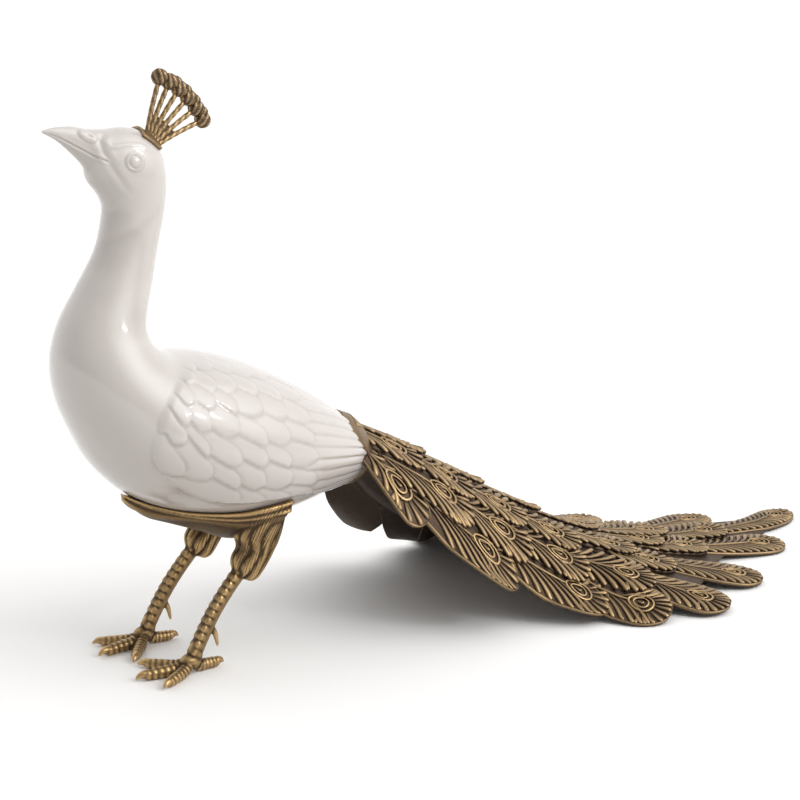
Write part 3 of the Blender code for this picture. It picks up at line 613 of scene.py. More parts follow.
def on_train(x, y):
    """Points of the form for plan places, x from the collar and y from the middle."""
    share = x / TRAIN_LENGTH
    side = y / TRAIN_HALF_WIDTH
    sweep = -TRAIN_SWEEP * smooth_step(share, 0.05, 0.75) * (1 - smooth_step(share, 0.87, 1.0))
    spots = np.stack([x + TRAIN_START, y + sweep, train_height(share, side)], -1)
    return spots + np.array(ORIGIN)


train_root = ORIGIN.x + TRAIN_START
print("train runs from x =", round(train_root, 3), "to", round(train_root + TRAIN_LENGTH, 3))

# %% [markdown]
# ### Feathers
#
# Each row gives a feather's layer, its width, and its root and tip in shares of the length and half width.
# The four layers lie like roof tiles, the lowest and widest at the rim. A feather away from the middle has
# a mirror image on the other side.

# %% Feather list
FEATHERS = [
    (0, 0.66, (0.008, 0.20), (0.066, 0.458)),
    (0, 1.20, (0.070, 0.36), (0.204, 0.572)),
    (0, 1.05, (0.190, 0.42), (0.342, 0.740)),
    (0, 1.05, (0.290, 0.43), (0.409, 0.956)),
    (0, 1.05, (0.400, 0.56), (0.517, 1.000)),
    (0, 1.05, (0.500, 0.42), (0.669, 0.720)),
    (0, 1.00, (0.640, 0.20), (0.845, 0.318)),
    (0, 0.80, (0.780, 0.0), (1.0, 0.0)),
    (1, 0.85, (0.030, 0.21), (0.168, 0.350)),
    (1, 0.90, (0.128, 0.275), (0.262, 0.428)),
    (1, 0.90, (0.220, 0.32), (0.352, 0.532)),
    (1, 0.90, (0.318, 0.41), (0.440, 0.722)),
    (1, 0.90, (0.407, 0.345), (0.532, 0.530)),
    (1, 0.90, (0.520, 0.20), (0.681, 0.225)),
    (1, 0.90, (0.640, 0.0), (0.795, 0.0)),
    (2, 0.70, (0.000, 0.07), (0.115, 0.155)),
    (2, 0.74, (0.080, 0.11), (0.200, 0.200)),
    (2, 0.78, (0.165, 0.14), (0.290, 0.260)),
    (2, 0.80, (0.255, 0.19), (0.375, 0.360)),
    (2, 0.82, (0.350, 0.21), (0.490, 0.360)),
    (2, 0.82, (0.450, 0.11), (0.605, 0.150)),
    (3, 0.62, (0.020, 0.0), (0.150, 0.0)),
    (3, 0.66, (0.120, 0.0), (0.262, 0.0)),
    (3, 0.70, (0.225, 0.0), (0.375, 0.0)),
    (3, 0.74, (0.335, 0.0), (0.500, 0.0)),
    (3, 0.78, (0.460, 0.0), (0.655, 0.0)),
]
FEATHER_HALF_WIDTH = 0.679 * UNIT
EYE_LENGTH = 0.50 * UNIT
PLAN_SCALE = np.array([TRAIN_LENGTH, TRAIN_HALF_WIDTH])
WIDEST = 0.74
BLADE_WIDTHS = [(0, 0.50), (0.2, 0.70), (0.42, 0.86), (0.6, 0.96), (WIDEST, 1.0)]


def blade_half(share):
    """Half width of a blade along it, in shares of its widest: slim root and round tip."""
    nose = np.clip((share - WIDEST) / 0.262, 0, 1)
    return read_off(BLADE_WIDTHS, share) * np.sqrt(np.clip(1 - nose ** 2, 0, 1))


class Feather:
    """One feather in plan, with its own along and across directions."""

    def __init__(self, layer, width, root, tip, side):
        mirror = np.array([1.0, side])
        self.layer = layer
        self.start = np.array(root) * PLAN_SCALE * mirror
        end = np.array(tip) * PLAN_SCALE * mirror
        self.length = np.linalg.norm(end - self.start)
        self.way = (end - self.start) / self.length
        self.out = np.array([-self.way[1], self.way[0]])
        self.half = FEATHER_HALF_WIDTH * width
        self.eye = self.length - EYE_LENGTH * 1.35
        heart = self.start * 0.3 + end * 0.7
        self.up = train_normal(heart[0] / TRAIN_LENGTH, heart[1] / TRAIN_HALF_WIDTH)

    def place(self, along, across, rise):
        """Points for places along and across the feather and a height over its blade."""
        plan = self.start + along[..., None] * self.way + across[..., None] * self.out
        share = np.clip(along / self.length, 0, 1.05)
        stack = self.layer * LAYER_STEP
        lift = stack - (FEATHER_THICKNESS * 0.35 + stack * 0.5) * (1 - share)
        part = np.clip(np.abs(across) / self.half, 0, 1)
        crown = RACHIS_RISE * (1 - part) ** 1.4
        return on_train(plan[..., 0], plan[..., 1]) + (lift + crown + rise)[..., None] * self.up

    def covers(self, plan):
        """Whether plan places lie well inside this blade."""
        offset = plan - self.start
        along = offset @ self.way / self.length
        across = np.abs(offset @ self.out) / self.half
        return (along > 0.12) & (along < 0.95) & (across < blade_half(along) - 0.12)


feathers = [Feather(layer, width, root, tip, side)
            for layer, width, root, tip in FEATHERS
            for side in ((1,) if tip[1] == 0 else (-1, 1))]
print("feathers:", len(feathers), "longest in mm:", round(max(item.length for item in feathers) / MM))

# %% [markdown]
# ### Barbs, eyes and blades
#
# A barb leaves the quill at a shallow angle, bends outwards and ends in a fat round club. It is a bead
# drawn along a curve in plan. Past the eye a fan of straight clubs fills the round tip. The eye is two
# rings in the shape of a drop round a small curl. Barbs that an upper feather hides are left out.

# %% Strokes on a feather
BARB_STEP = 8.4 * MM
BARB_POLISH = 0.95
SHORTEST_BARB = 5 * MM
EYE_GAP = 1.0 * MM


def stroke_polish(template, count, level):
    """Bright on the crown and the outer end, dark at the foot of each stroke."""
    share, _, upward = unrolled(template)
    crown = smooth_step(upward, 0.45, 1.05)
    return level * crown * (0.25 + 0.75 * share) * chance.uniform(0.7, 1.05, (count, 1))


def add_strokes(train, feather, template, path, widths, rises, base=0.0, curl=0.0, level=BARB_POLISH):
    """Clubs along curves in plan; the path holds their first, middle and last (along, across) places."""
    first, bend, last = (rows[:, None] for rows in path)
    t, aside, upward = unrolled(template)
    fat = fullness(template, 6)
    share = t[None, :, None]
    curve = first * (1 - share) ** 2 + bend * 2 * share * (1 - share) + last * share ** 2
    head = (bend - first) * (1 - share) + (last - bend) * share
    head /= np.linalg.norm(head, axis=-1, keepdims=True) + 1e-12
    wide = (widths[0] + (widths[1] - widths[0]) * t ** 1.4) * fat * aside
    tall = (rises[0] + (rises[1] - rises[0]) * t ** 1.2) * fat * upward
    along = curve[..., 0] - head[..., 1] * wide
    across = curve[..., 1] + head[..., 0] * wide
    rise = np.broadcast_to(base + curl * t ** 2 + tall, along.shape)
    train.add(template, feather.place(along, across, rise), stroke_polish(template, len(first), level))


def barb_curves(feather, side):
    """First, middle and last places of the barbs on one side of a quill."""
    starts = np.arange(0.02 * feather.length, feather.eye - EYE_LENGTH * 0.20, BARB_STEP)
    width = np.full(len(starts), feather.half)
    edge = 0.955 if feather.layer == 0 else 1.13
    for turn in range(12):
        width = 0.5 * width + 0.5 * feather.half * edge * blade_half((starts + width) / feather.length)
    keep = width > SHORTEST_BARB
    starts = starts[keep]
    width = width[keep]
    first = np.stack([starts, np.full(len(starts), 0.8 * MM * side)], -1)
    bend = np.stack([starts + 0.74 * width, 0.30 * width * side], -1)
    last = np.stack([starts + width, width * side], -1)
    return first, bend, last


def fan_curves(feather):
    """Straight clubs from the eye to the round tip."""
    turns = np.radians(np.linspace(-88, 88, 11 if feather.half > 0.022 else 9))
    reach = np.linspace(6 * MM, 40 * MM, 120)
    along = feather.eye + np.cos(turns)[:, None] * reach
    across = np.abs(np.sin(turns)[:, None] * reach)
    edge = 0.965 if feather.layer == 0 else 1.04
    inside = across < feather.half * edge * blade_half(along / feather.length)
    inside &= along < feather.length * 0.995
    near = EYE_LENGTH * (0.42 + 0.12 * np.cos(turns)) + EYE_GAP
    far = np.maximum(np.where(inside, reach, 0).max(axis=1), near + 2 * MM)
    eye = np.array([feather.eye, 0.0])
    way = np.stack([np.cos(turns), np.sin(turns)], -1)
    first = eye + way * near[:, None]
    last = eye + way * far[:, None]
    return first, (first + last) / 2, last


print("barbs on one side of each feather:", [len(barb_curves(item, 1)[0]) for item in feathers])


# %% Train casting
CLUB_CURL = 2.0 * MM
EYE_RINGS = [(1.0, 1.15 * MM), (0.60, 0.95 * MM)]
EYE_CURL = [(-3.6, 0.9), (3.6, -2.9), (1.6, 1.7)]
BLADE_ROWS = [(0, 0), (0.5, 0.66), (0.8, 0.93), (1, 0.998)]
BLADE_PARTS = [(0, -1), (0.1, -0.96), (0.2, -0.88), (0.5, 0), (0.8, 0.88), (0.9, 0.96), (1, 1)]
COLLAR_FRONT = [(0, 21.9), (18, 21.75), (36, 21.4), (54, 21.3), (75, 21.75), (90, 22.2), (120, 22.2),
                (142, 21.85), (180, 21.7)]
COLLAR_BARBS = 7
COLLAR_BARB_RISE = 3.9 * MM


def hidden(feather, ends):
    """Marks the strokes whose outer ends lie under another feather."""
    plan = feather.start + ends[:, :1] * feather.way + ends[:, 1:] * feather.out
    covered = np.zeros(len(ends), bool)
    for other in feathers:
        above = other.layer > feather.layer
        before = other.layer == feather.layer and other.start[0] < feather.start[0] - 5 * MM
        if above or before:
            covered |= other.covers(plan)
    return covered


def add_blade(train, feather):
    """The blade of a feather, with a raised and polished rim on the lowest layer."""
    lowest = feather.layer == 0
    along, across, depth = points_of(blade_template).T
    rows = read_off(BLADE_ROWS, along)
    part = read_off(BLADE_PARTS, across)
    rim = 0.8 * MM * smooth_step(np.abs(part), 0.86, 0.95) * lowest
    bottom = FEATHER_THICKNESS * (0.75 if lowest else 0.55) + feather.layer * LAYER_STEP * 0.8 + 0.3 * MM
    rise = np.where(depth > 0.5, -bottom, rim - 0.5 * MM)
    shine = np.where(depth > 0.5, 0.0, 0.05 + 0.45 * (rim > 0.3 * MM))
    half = part * feather.half * blade_half(rows) * (1.0 if lowest else 0.95)
    train.add(blade_template, feather.place(rows * feather.length, half, rise), shine)


def add_eye(train, feather):
    """Two rings in the shape of a drop, round a small curl."""
    x, y, z = points_of(eye_template).T
    turn = np.arctan2(y, x)
    wire = (np.hypot(x, y) - 1) * 10
    height = z * 10
    for size, thick in EYE_RINGS:
        along = feather.eye + (EYE_LENGTH * 0.55 * size + wire * thick) * np.cos(turn)
        across = (EYE_LENGTH * 0.52 * size + wire * thick) * np.sin(turn) * (0.80 + 0.20 * np.cos(turn))
        spots = feather.place(along, across, 0.5 * MM + height * thick * 1.2)
        train.add(eye_template, spots, smooth_step(height, -0.2, 0.9) * 0.95)
    path = [np.array([[feather.eye + x * MM, y * MM]]) for x, y in EYE_CURL]
    widths, rises = (1.1 * MM, 1.2 * MM), (1.3 * MM, 1.4 * MM)
    add_strokes(train, feather, barb_template, path, widths, rises, base=0.2 * MM, level=1.0)


def add_feather(train, feather):
    add_blade(train, feather)
    curl = CLUB_CURL if feather.layer else 0.0
    for side in (-1, 1):
        path = barb_curves(feather, side)
        shown = ~(hidden(feather, path[2]) & hidden(feather, (path[0] + path[2]) / 2))
        if shown.any():
            path = [places[shown] for places in path]
            widths, rises = (0.8 * MM, 3.3 * MM), (0.9 * MM, 2.6 * MM)
            add_strokes(train, feather, barb_template, path, widths, rises, curl=curl)
    widths, rises = (0.8 * MM, 3.1 * MM), (1.0 * MM, 2.3 * MM)
    add_strokes(train, feather, barb_template, fan_curves(feather), widths, rises, curl=curl * 0.6)
    quill_end = feather.eye - EYE_LENGTH * 0.45
    path = [np.array([[along, 0.0]]) for along in (0.0, feather.eye * 0.5, quill_end)]
    widths, rises = (1.7 * MM, 1.2 * MM), (1.6 * MM, 1.3 * MM)
    add_strokes(train, feather, rod_template, path, widths, rises, base=0.3 * MM, level=0.9)
    add_eye(train, feather)


def add_sheet(train):
    """The smooth dark sheet under the feathers."""
    template = slab(44, 22)
    along, across, low = points_of(template).T
    share = along * 0.866
    taper = 0.97 - 0.42 * smooth_step(share, 0.42, 0.80)
    half = table_value(RIM, share, 1) * (0.50 + 0.36 * smooth_step(share, -0.02, 0.16)) * taper
    side = (across * 2 - 1) * half
    depth = FEATHER_THICKNESS * (0.45 + 0.85 * low)
    spots = on_train(share * TRAIN_LENGTH, side * TRAIN_HALF_WIDTH)
    train.add(template, spots - train_normal(share, side) * depth[:, None])


def add_collar(train):
    """The cup round the rump that carries the first feathers."""
    template = slab(26, 60)
    along, around, low = points_of(template).T
    angle = around * 360
    front = read_off(COLLAR_FRONT, np.minimum(angle, 360 - angle))
    place = front + (24.0 - front) * along
    wall = 1.4 * MM + 2.8 * MM * smooth_step(along, 0.0, 0.10)
    rise = np.where(low > 0.5, 0.5 * MM, wall)
    normals = body_normals(np.clip(place, 0, 23.9), angle)
    train.add(template, body_spots(place, angle) + normals * rise[:, None], 0.30 - 0.2 * (low > 0.5))


def add_collar_barbs(train):
    """Barbs that leave the spine of the collar on both sides, ahead of the first feathers."""
    t, sideways, upward = unrolled(barb_template)
    fat = fullness(barb_template, 6) * (0.8 + 1.6 * t) * MM
    for side in (-1, 1):
        for index in range(COLLAR_BARBS):
            place = 22.12 + 0.12 * index - 0.055 * (COLLAR_BARBS - 1 - index) * t
            angle = side * (4 + (46 - 3 * index) * t)
            middle = body_spots(place, angle)
            ahead = directions(body_spots(place + 0.02, angle + side * 2) - middle)
            normals = body_normals(place, angle)
            aside = np.cross(normals, ahead) * (sideways * fat)[:, None]
            rise = COLLAR_BARB_RISE + upward * fat * 0.9
            spots = middle + aside + normals * rise[:, None]
            train.add(barb_template, spots, stroke_polish(barb_template, 1, BARB_POLISH))


def build_train():
    train = Casting()
    add_sheet(train)
    add_collar(train)
    add_collar_barbs(train)
    for feather in feathers:
        add_feather(train, feather)
    return train.finish("brass_train")


brass_train = build_train()
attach(brass_train, "root")
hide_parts("train")
print("train triangles:", triangles(brass_train))

# %% [markdown]
# ## The crest
#
# The crest is a small brass casting on the crown of the head. Six stems fan out of a thin saddle, with a
# low web between their feet. Each stem is twisted like a cord and ends in a ribbed bud, and smaller buds
# between them close the row. The cord and the ribs are only changes of radius round a rod and round a ball.

# %% Crest casting
STEM_COUNT = 6
STEM_DIAMETER = 4.3 * MM
BUD_DIAMETER = 14.0 * MM
SMALL_BUD = 0.8
stem_template = bead(14, 34)
bud_template = bead(32, 20)
knot_template = bead(8, 6)
knot_shape = points_of(knot_template)


def stem_line(index):
    """Foot and direction in the middle plane, and the length, of one stem."""
    share = index / (STEM_COUNT - 1)
    foot = Vector((-0.16 + 0.28 * share, 0, 10.66 - 0.20 * share ** 1.5)) * UNIT + ORIGIN
    lean = math.radians(74 - 50 * share ** 1.08)
    return np.array(foot), np.array([math.cos(lean), 0, math.sin(lean)]), (1.13 - 0.08 * share) * UNIT


def along_axis(template, start, way, length, radius, bow=0.0):
    """Lays a bead along a straight axis; radius holds a width for each point."""
    t, aside, upward = unrolled(template)
    turned = np.array([way[2], 0.0, -way[0]])
    spots = start + t[:, None] * way * length
    spots = spots + turned * (upward * radius + bow * np.sin(np.pi * t))[:, None]
    spots[:, 1] += aside * radius
    return spots


def add_stem(crest, index):
    """A stem twisted like a cord of two strands."""
    foot, way, length = stem_line(index)
    t, aside, upward = unrolled(stem_template)
    strand = np.cos(2 * np.arctan2(aside, upward) + 2 * math.pi * 6.5 * t)
    radius = STEM_DIAMETER / 2 * (0.93 + 0.09 * strand) * fullness(stem_template, 16) * (0.92 + 0.16 * t)
    start = foot - way * length * 0.12
    spots = along_axis(stem_template, start, way, length * 1.06, radius, -0.02 * UNIT)
    crest.add(stem_template, spots, 0.22 + 0.80 * smooth_step(strand, -0.6, 0.9))


def add_bud(crest, index, size):
    """A ball of leaning ribs; the smaller ones fill the gaps between the stems' own."""
    foot, way, length = stem_line(index)
    t, aside, upward = unrolled(bud_template)
    x = 2 * t - 1
    turn = np.arctan2(aside, upward)
    pattern = 0.78 * np.cos(7 * turn + 5.0 * x + index) + 0.22 * np.cos(7 * x + 1.2 + 3 * turn)
    radius = size / 2 * fullness(bud_template, 2) ** 0.9 * (0.94 + 0.12 * pattern)
    start = foot + way * (length - BUD_DIAMETER * 0.55 + (BUD_DIAMETER - size) * 1.3)
    spots = along_axis(bud_template, start, way, size * 0.98, radius)
    crest.add(bud_template, spots, 0.04 + 0.75 * smooth_step(pattern, 0.0, 0.9))


def add_web(crest):
    """The thin plate between the feet of the stems, with small knots along its edge."""
    template = slab(20, 6)
    along, tall, thick = points_of(template).T
    index = along * (STEM_COUNT - 1)
    feet, ways, _ = zip(*(stem_line(step) for step in range(STEM_COUNT)))
    top = 0.40 - 0.05 * np.abs(np.sin(math.pi * index))
    reach = (-0.10 + (top + 0.10) * tall) * UNIT
    steps = range(STEM_COUNT)
    spots = between(index, steps, feet) + between(index, steps, ways) * reach[:, None]
    spots[:, 1] += (thick - 0.5) * 1.6 * MM
    crest.add(template, spots, 0.06)
    for step in range(STEM_COUNT - 1):
        foot = (feet[step] + feet[step + 1]) / 2
        way = (ways[step] + ways[step + 1]) / 2
        for level in (0.20, 0.38):
            crest.add(knot_template, foot + way * level * UNIT + knot_shape * 1.05 * MM, 0.7)


def add_saddle(crest):
    """A thin saddle on the crown, its rim a little raised."""
    template = slab(22, 30)
    along, around, low = points_of(template).T
    place = 5.70 + 1.10 * along
    angle = (around * 2 - 1) * 38 * (1 - 0.30 * np.abs(place - 6.1) ** 2)
    rim = np.maximum(np.abs(along * 2 - 1), np.abs(around * 2 - 1))
    ridge = smooth_step(rim, 0.80, 0.90)
    leaf = 0.5 + 0.5 * np.cos(angle * 0.42)
    rise = np.where(low > 0.5, 0.35 * MM, 2.0 * MM + 0.5 * MM * ridge + 0.35 * MM * leaf)
    spots = body_spots(place, angle) + body_normals(place, angle) * rise[:, None]
    crest.add(template, spots, 0.12 + 0.25 * ridge + 0.2 * leaf)


def build_crest():
    crest = Casting()
    add_saddle(crest)
    add_web(crest)
    for index in range(STEM_COUNT):
        add_stem(crest, index)
        add_bud(crest, index, BUD_DIAMETER)
    for index in range(1, STEM_COUNT - 1):
        add_bud(crest, index + 0.5, BUD_DIAMETER * SMALL_BUD)
    return crest.finish("brass_crest")


brass_crest = build_crest()
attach(brass_crest, "root")
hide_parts("crest")
print("crest triangles:", triangles(brass_crest))

# %% [markdown]
# ## Cradle and legs
#
# One heavy casting carries the bird. A boat-shaped cup with a lined rim runs into two feathered thighs, and
# below them are shanks with plates and four-toed feet. Its parts are laid into each other like wax and then
# melted into one skin by a voxel remesh, which rounds every joint as a casting does. The hair of the thighs
# is cut afterwards, as a chaser cuts it into the cold metal.

# %% Shapes of the cradle and legs
SHANK_RADIUS = 6.1 * MM
LEG_BOW = 0.10
CRADLE_STATIONS = [
    (-0.95, 0.06, 3.63, 3.48),
    (-0.75, 0.28, 3.52, 3.28),
    (-0.45, 0.52, 3.40, 3.07),
    (0.0, 0.86, 3.29, 2.92),
    (0.5, 1.12, 3.23, 2.72),
    (1.0, 1.29, 3.20, 2.50),
    (1.45, 1.44, 3.25, 2.40),
    (1.82, 1.48, 3.29, 2.48),
    (2.06, 1.44, 3.28, 2.74),
    (2.17, 1.34, 3.25, 2.94),
]
THIGH_SECTIONS = [
    (1.17, 0.0, 1.85, 0.27, 0.24, 37),
    (1.30, 0.0, 2.02, 0.35, 0.31, 30),
    (1.48, 0.1, 2.28, 0.38, 0.34, 18),
    (1.53, 0.3, 2.58, 0.50, 0.37, 6),
    (1.60, 0.6, 2.86, 0.54, 0.37, -4),
    (1.66, 0.9, 3.08, 0.52, 0.34, -12),
    (1.70, 1.0, 3.22, 0.46, 0.30, -14),
]
HIP_HALF = 1.10
KNEE_HALF = 0.96
lump_template = bead(12, 10)
lump_shape = points_of(lump_template)
limb_template = bead(24, 40)
thigh_template = bead(90, 60)
plate_template = bead(16, 12)
plate_shape = points_of(plate_template)


def from_tables(spots):
    """Moves points from table units into the figure."""
    return np.asarray(spots, float) * UNIT + np.array(ORIGIN)


def frames_along(line):
    """Sideways and upward directions along a line of points."""
    forward = directions(np.gradient(line, axis=0))
    aside = np.cross(forward, [0.0, 0.0, 1.0])
    upright = np.linalg.norm(aside, axis=1, keepdims=True) < 0.05
    aside = directions(np.where(upright, [0.0, 1.0, 0.0], aside))
    return aside, np.cross(aside, forward)


def limb(template, line, width, height, blunt):
    """Bends a bead along a line of points; width and height are one value or one for each point."""
    t, sideways, upward = unrolled(template)
    turn = np.arctan2(upward, sideways)
    close = fullness(template, blunt)
    fine = np.linspace(0, 1, 61)
    path = curve_rows(line, fine * (len(line) - 1))
    centre, aside, top = [between(t, fine, values) for values in (path, *frames_along(path))]
    spots = centre + aside * (np.cos(turn) * width * close)[:, None]
    return spots + top * (np.sin(turn) * height * close)[:, None]


def add_cup(legs):
    """The cup under the belly, with two lines along the rim and soft folds below them."""
    template = slab(90, 120)
    along, around, low = points_of(template).T
    rows = curve_rows(CRADLE_STATIONS, along * (len(CRADLE_STATIONS) - 1))
    x, half, rim, keel = np.moveaxis(rows, -1, 0)
    turn = (read_off([(0, 0), (0.26, 0.13), (0.74, 0.87), (1, 1)], around) - 0.5) * math.pi
    down = math.pi / 2 - np.abs(turn)
    lines = hump(down, 0.03, 0.03) + 0.8 * hump(down, 0.135, 0.03)
    folds = np.sin(5.0 * down + 2.2 * np.sin(2.3 * x + 0.5) + 0.9 * x) * smooth_step(down, 0.2, 0.5)
    inner = 0.11 * low - (1 - low) * (0.026 * lines + 0.022 * folds)
    half = np.maximum(half - inner, 0.01)
    z = rim - np.maximum(rim - keel - inner * 1.1, 0.01) * np.abs(np.cos(turn)) ** 0.8
    legs.add(template, from_tables(np.stack([x, half * np.sin(turn), z], -1)))


def add_thigh(legs, side):
    """A thigh of flowing folds with a ragged cuff above the bare leg."""
    t, sideways, upward = unrolled(thigh_template)
    rows = curve_rows(THIGH_SECTIONS, t * (len(THIGH_SECTIONS) - 1))
    x, share, z, length, breadth, tilt = np.moveaxis(rows, -1, 0)
    turn = np.arctan2(upward, sideways)
    flow = 4.5 * turn + 1.5 * np.sin(3.4 * t + 0.7) + 0.5 * np.sin(9 * t + 2 * turn)
    fold = np.abs(np.sin(flow)) ** 0.7
    swell = fullness(thigh_template, 10) * (0.86 + (0.11 + 0.13 * (1 - t) ** 1.5) * fold)
    lean = np.radians(tilt)
    reach = np.cos(turn) * length * swell
    drop = 0.11 * smooth_step(0.25 - t, 0.0, 0.25) * fold
    y = side * (KNEE_HALF + (HIP_HALF - KNEE_HALF) * share) + np.sin(turn) * breadth * swell
    spots = [x + np.cos(lean) * reach, y, z - np.sin(lean) * reach - drop]
    legs.add(thigh_template, from_tables(np.stack(spots, -1)))


def add_tail_tuft(legs, side):
    """Two tapering locks of feather at the rear corner of the rim, thick at their free ends."""
    t = unrolled(lump_template)[0]
    width = 0.08 * UNIT * (0.35 + 0.65 * np.sin(np.pi * np.clip(t * 0.9 + 0.02, 0, 1)) ** 0.7)
    height = 0.06 * UNIT * (0.4 + 0.6 * t)
    for z in (3.27, 3.12):
        tip = (2.12 + 0.5 * (z - 3.12), side * 1.38, z + 0.02)
        line = from_tables([(1.6, side * 1.42, z - 0.03), (1.95, side * 1.44, z), tip])
        legs.add(lump_template, limb(lump_template, line, width, height, 4))


print("cradle length in mm:", round((CRADLE_STATIONS[-1][0] - CRADLE_STATIONS[0][0]) * UNIT / MM))

# %% Legs and feet
PLATE_COUNT = 12
RAIL_BEADS = 32
TOE_THICKNESS = 11.4 * MM
TOES = [((-0.79, -0.94), 0.92), ((-1.22, -0.19), 1.0), ((-0.99, 0.58), 0.92), ((0.74, -0.05), 0.95)]
CLAW = [(0.74, 0.46), (0.86, 0.46), (0.93, 0.34), (0.985, 0.16)]
SPUR_LENGTH = 14 * MM
SPUR_RADIUS = 3.6 * MM


def add_shank(legs, side):
    """A slightly bowed bare leg, with a column of plates in front and a rail with small beads behind."""
    top = np.array([1.24, side * KNEE_HALF, 1.98])
    foot = np.array([-0.02, side * 1.0, 0.24])
    way = foot - top
    front = np.array([way[2], 0.0, -way[0]]) / np.hypot(way[0], way[2])

    def on_leg(share):
        return from_tables(top + way * share + front * LEG_BOW * math.sin(math.pi * share))

    line = np.array([on_leg(share) for share in (0.0, 0.25, 0.5, 0.75, 1.0)])
    thick = SHANK_RADIUS * (0.90 + 0.04 * unrolled(limb_template)[0])
    legs.add(limb_template, limb(limb_template, line, thick, thick, 12))
    step = np.linalg.norm(way) * UNIT / (PLATE_COUNT + 0.9)
    tilt = directions(directions(way) + front * 0.10)
    out = np.array([0.0, 1.0, 0.0])
    face = np.cross(tilt, out)
    boxy = np.sign(plate_shape) * np.abs(plate_shape) ** 0.42
    for index in range(PLATE_COUNT):
        share = (index + 0.9) / (PLATE_COUNT + 0.9)
        radius = SHANK_RADIUS * (0.98 + 0.04 * share)
        spots = on_leg(share) + front * SHANK_RADIUS * 0.36 + boxy[:, :1] * tilt * step * 0.465
        spots = spots + boxy[:, 1:2] * out * radius * 0.98 + boxy[:, 2:] * face * radius * 0.62
        legs.add(plate_template, spots)
    rail = line - front * SHANK_RADIUS * 0.62
    legs.add(limb_template, limb(limb_template, rail, SHANK_RADIUS * 0.46, SHANK_RADIUS * 0.46, 12))
    for index in range(RAIL_BEADS):
        middle = on_leg((index + 0.6) / RAIL_BEADS) - front * SHANK_RADIUS * 0.46
        for aside in (-0.66, 0.66):
            legs.add(knot_template, middle + out * aside * SHANK_RADIUS + knot_shape * SHANK_RADIUS * 0.20)


def add_toe(legs, start, tip, thick):
    """A ridged toe that dips to the floor and ends in a claw."""
    def on_toe(share, height):
        x, y, _ = start + (tip - start) * share
        return x, y, height

    line = []
    for share in (0.0, 0.22, 0.44, 0.66, 0.88):
        lowest = thick / 2 * (1.0 - 0.22 * share) * 0.92
        line.append(on_toe(share, max(start[2] * (1 - share) ** 2.5, lowest)))
    t = unrolled(limb_template)[0]
    ridge = np.abs(np.sin(math.pi * 8.5 * t ** 0.9)) ** 0.6
    radius = thick / 2 * (1.08 - 0.24 * t) * (0.70 + 0.34 * ridge)
    legs.add(limb_template, limb(limb_template, line, radius, radius, 6))
    claw = [on_toe(share, thick * height) for share, height in CLAW]
    sharp = thick / 2 * 0.80 * (1 - 0.80 * unrolled(lump_template)[0])
    legs.add(lump_template, limb(lump_template, claw, sharp, sharp, 6))


def add_foot(legs, side):
    hub = from_tables([-0.06, side * 1.0, 0.24])
    for (x, y), size in TOES:
        add_toe(legs, hub, from_tables([x, side * (1.0 + y), 0.0]), TOE_THICKNESS * size)
    legs.add(lump_template, hub + lump_shape * np.array([0.24, 0.18, 0.17]) * UNIT)
    ankle = from_tables([0.05, side * 1.0, 0.38])
    legs.add(lump_template, ankle + lump_shape * np.array([0.155, 0.150, 0.26]) * UNIT)
    base = from_tables([0.38, side * 0.99, 0.87])
    spur = [base + np.array(reach) * SPUR_LENGTH for reach in ((0, 0, 0), (0.40, 0, -0.45), (0.60, 0, -1.40))]
    taper = SPUR_RADIUS * (1 - 0.62 * unrolled(lump_template)[0])
    legs.add(lump_template, limb(lump_template, spur, taper, taper, 6))


print("plates on a shank:", PLATE_COUNT, "beads along each side of its rail:", RAIL_BEADS)


# %% Melt, groove and polish
VOXEL = 0.95 * MM
BARE_BELOW = 2.2 * UNIT


def melted(piece, voxel):
    """One skin round all parts of a piece."""
    change = piece.modifiers.new("melt", "REMESH")
    change.mode = "VOXEL"
    change.voxel_size = voxel
    graph = bpy.context.evaluated_depsgraph_get()
    mesh = bpy.data.meshes.new_from_object(piece.evaluated_get(graph))
    old = piece.data
    piece.modifiers.clear()
    piece.data = mesh
    bpy.data.meshes.remove(old)
    mesh.shade_smooth()
    return mesh


def grooves(spots):
    """Hair that falls from the rear of the rim and flows down each thigh, none on the shanks and feet."""
    x, y, z = ((spots - np.array(ORIGIN)) / UNIT).T
    fall = 3.25 - z
    turn = np.abs(np.arctan2(np.abs(y) - 0.98, x - 1.66 + 0.26 * np.clip(fall, 0, 1.4)))
    phase = turn - 0.45 * fall + 0.16 * np.sin(3.3 * z + 2 * turn) + 0.05 * np.sin(9 * z + 5 * turn)
    strands = np.abs(np.sin(19 * phase)) ** 0.6 - 0.6
    fine = np.sin(63 * phase + 2 * np.sin(6 * z))
    furry = smooth_step(z, 1.78, 2.0) * smooth_step(x + 0.5 * fall, 1.25, 1.65)
    return MM * furry * (0.62 * strands + 0.10 * fine)


def build_legs():
    legs = Casting()
    add_cup(legs)
    for side in (-1, 1):
        add_tail_tuft(legs, side)
        add_thigh(legs, side)
        add_shank(legs, side)
        add_foot(legs, side)
    piece = legs.finish("brass_legs")
    mesh = melted(piece, VOXEL)
    place_points(mesh, evened(points_of(mesh), edges_of(mesh), 1))
    spots = points_of(mesh)
    spots = spots + normals_of(mesh) * grooves(spots)[:, None]
    spots[:, 2] = np.maximum(spots[:, 2], 0.0)
    place_points(mesh, spots)
    polish = 0.12 + standing_out(mesh, 14) / (0.50 * MM) - 0.05 * (spots[:, 2] > BARE_BELOW)
    colour_by(mesh, "polish", np.clip(polish, 0, 1))
    return piece


brass_legs = build_legs()
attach(brass_legs, "root")
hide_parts("leg_cradle")
print("leg triangles:", triangles(brass_legs))
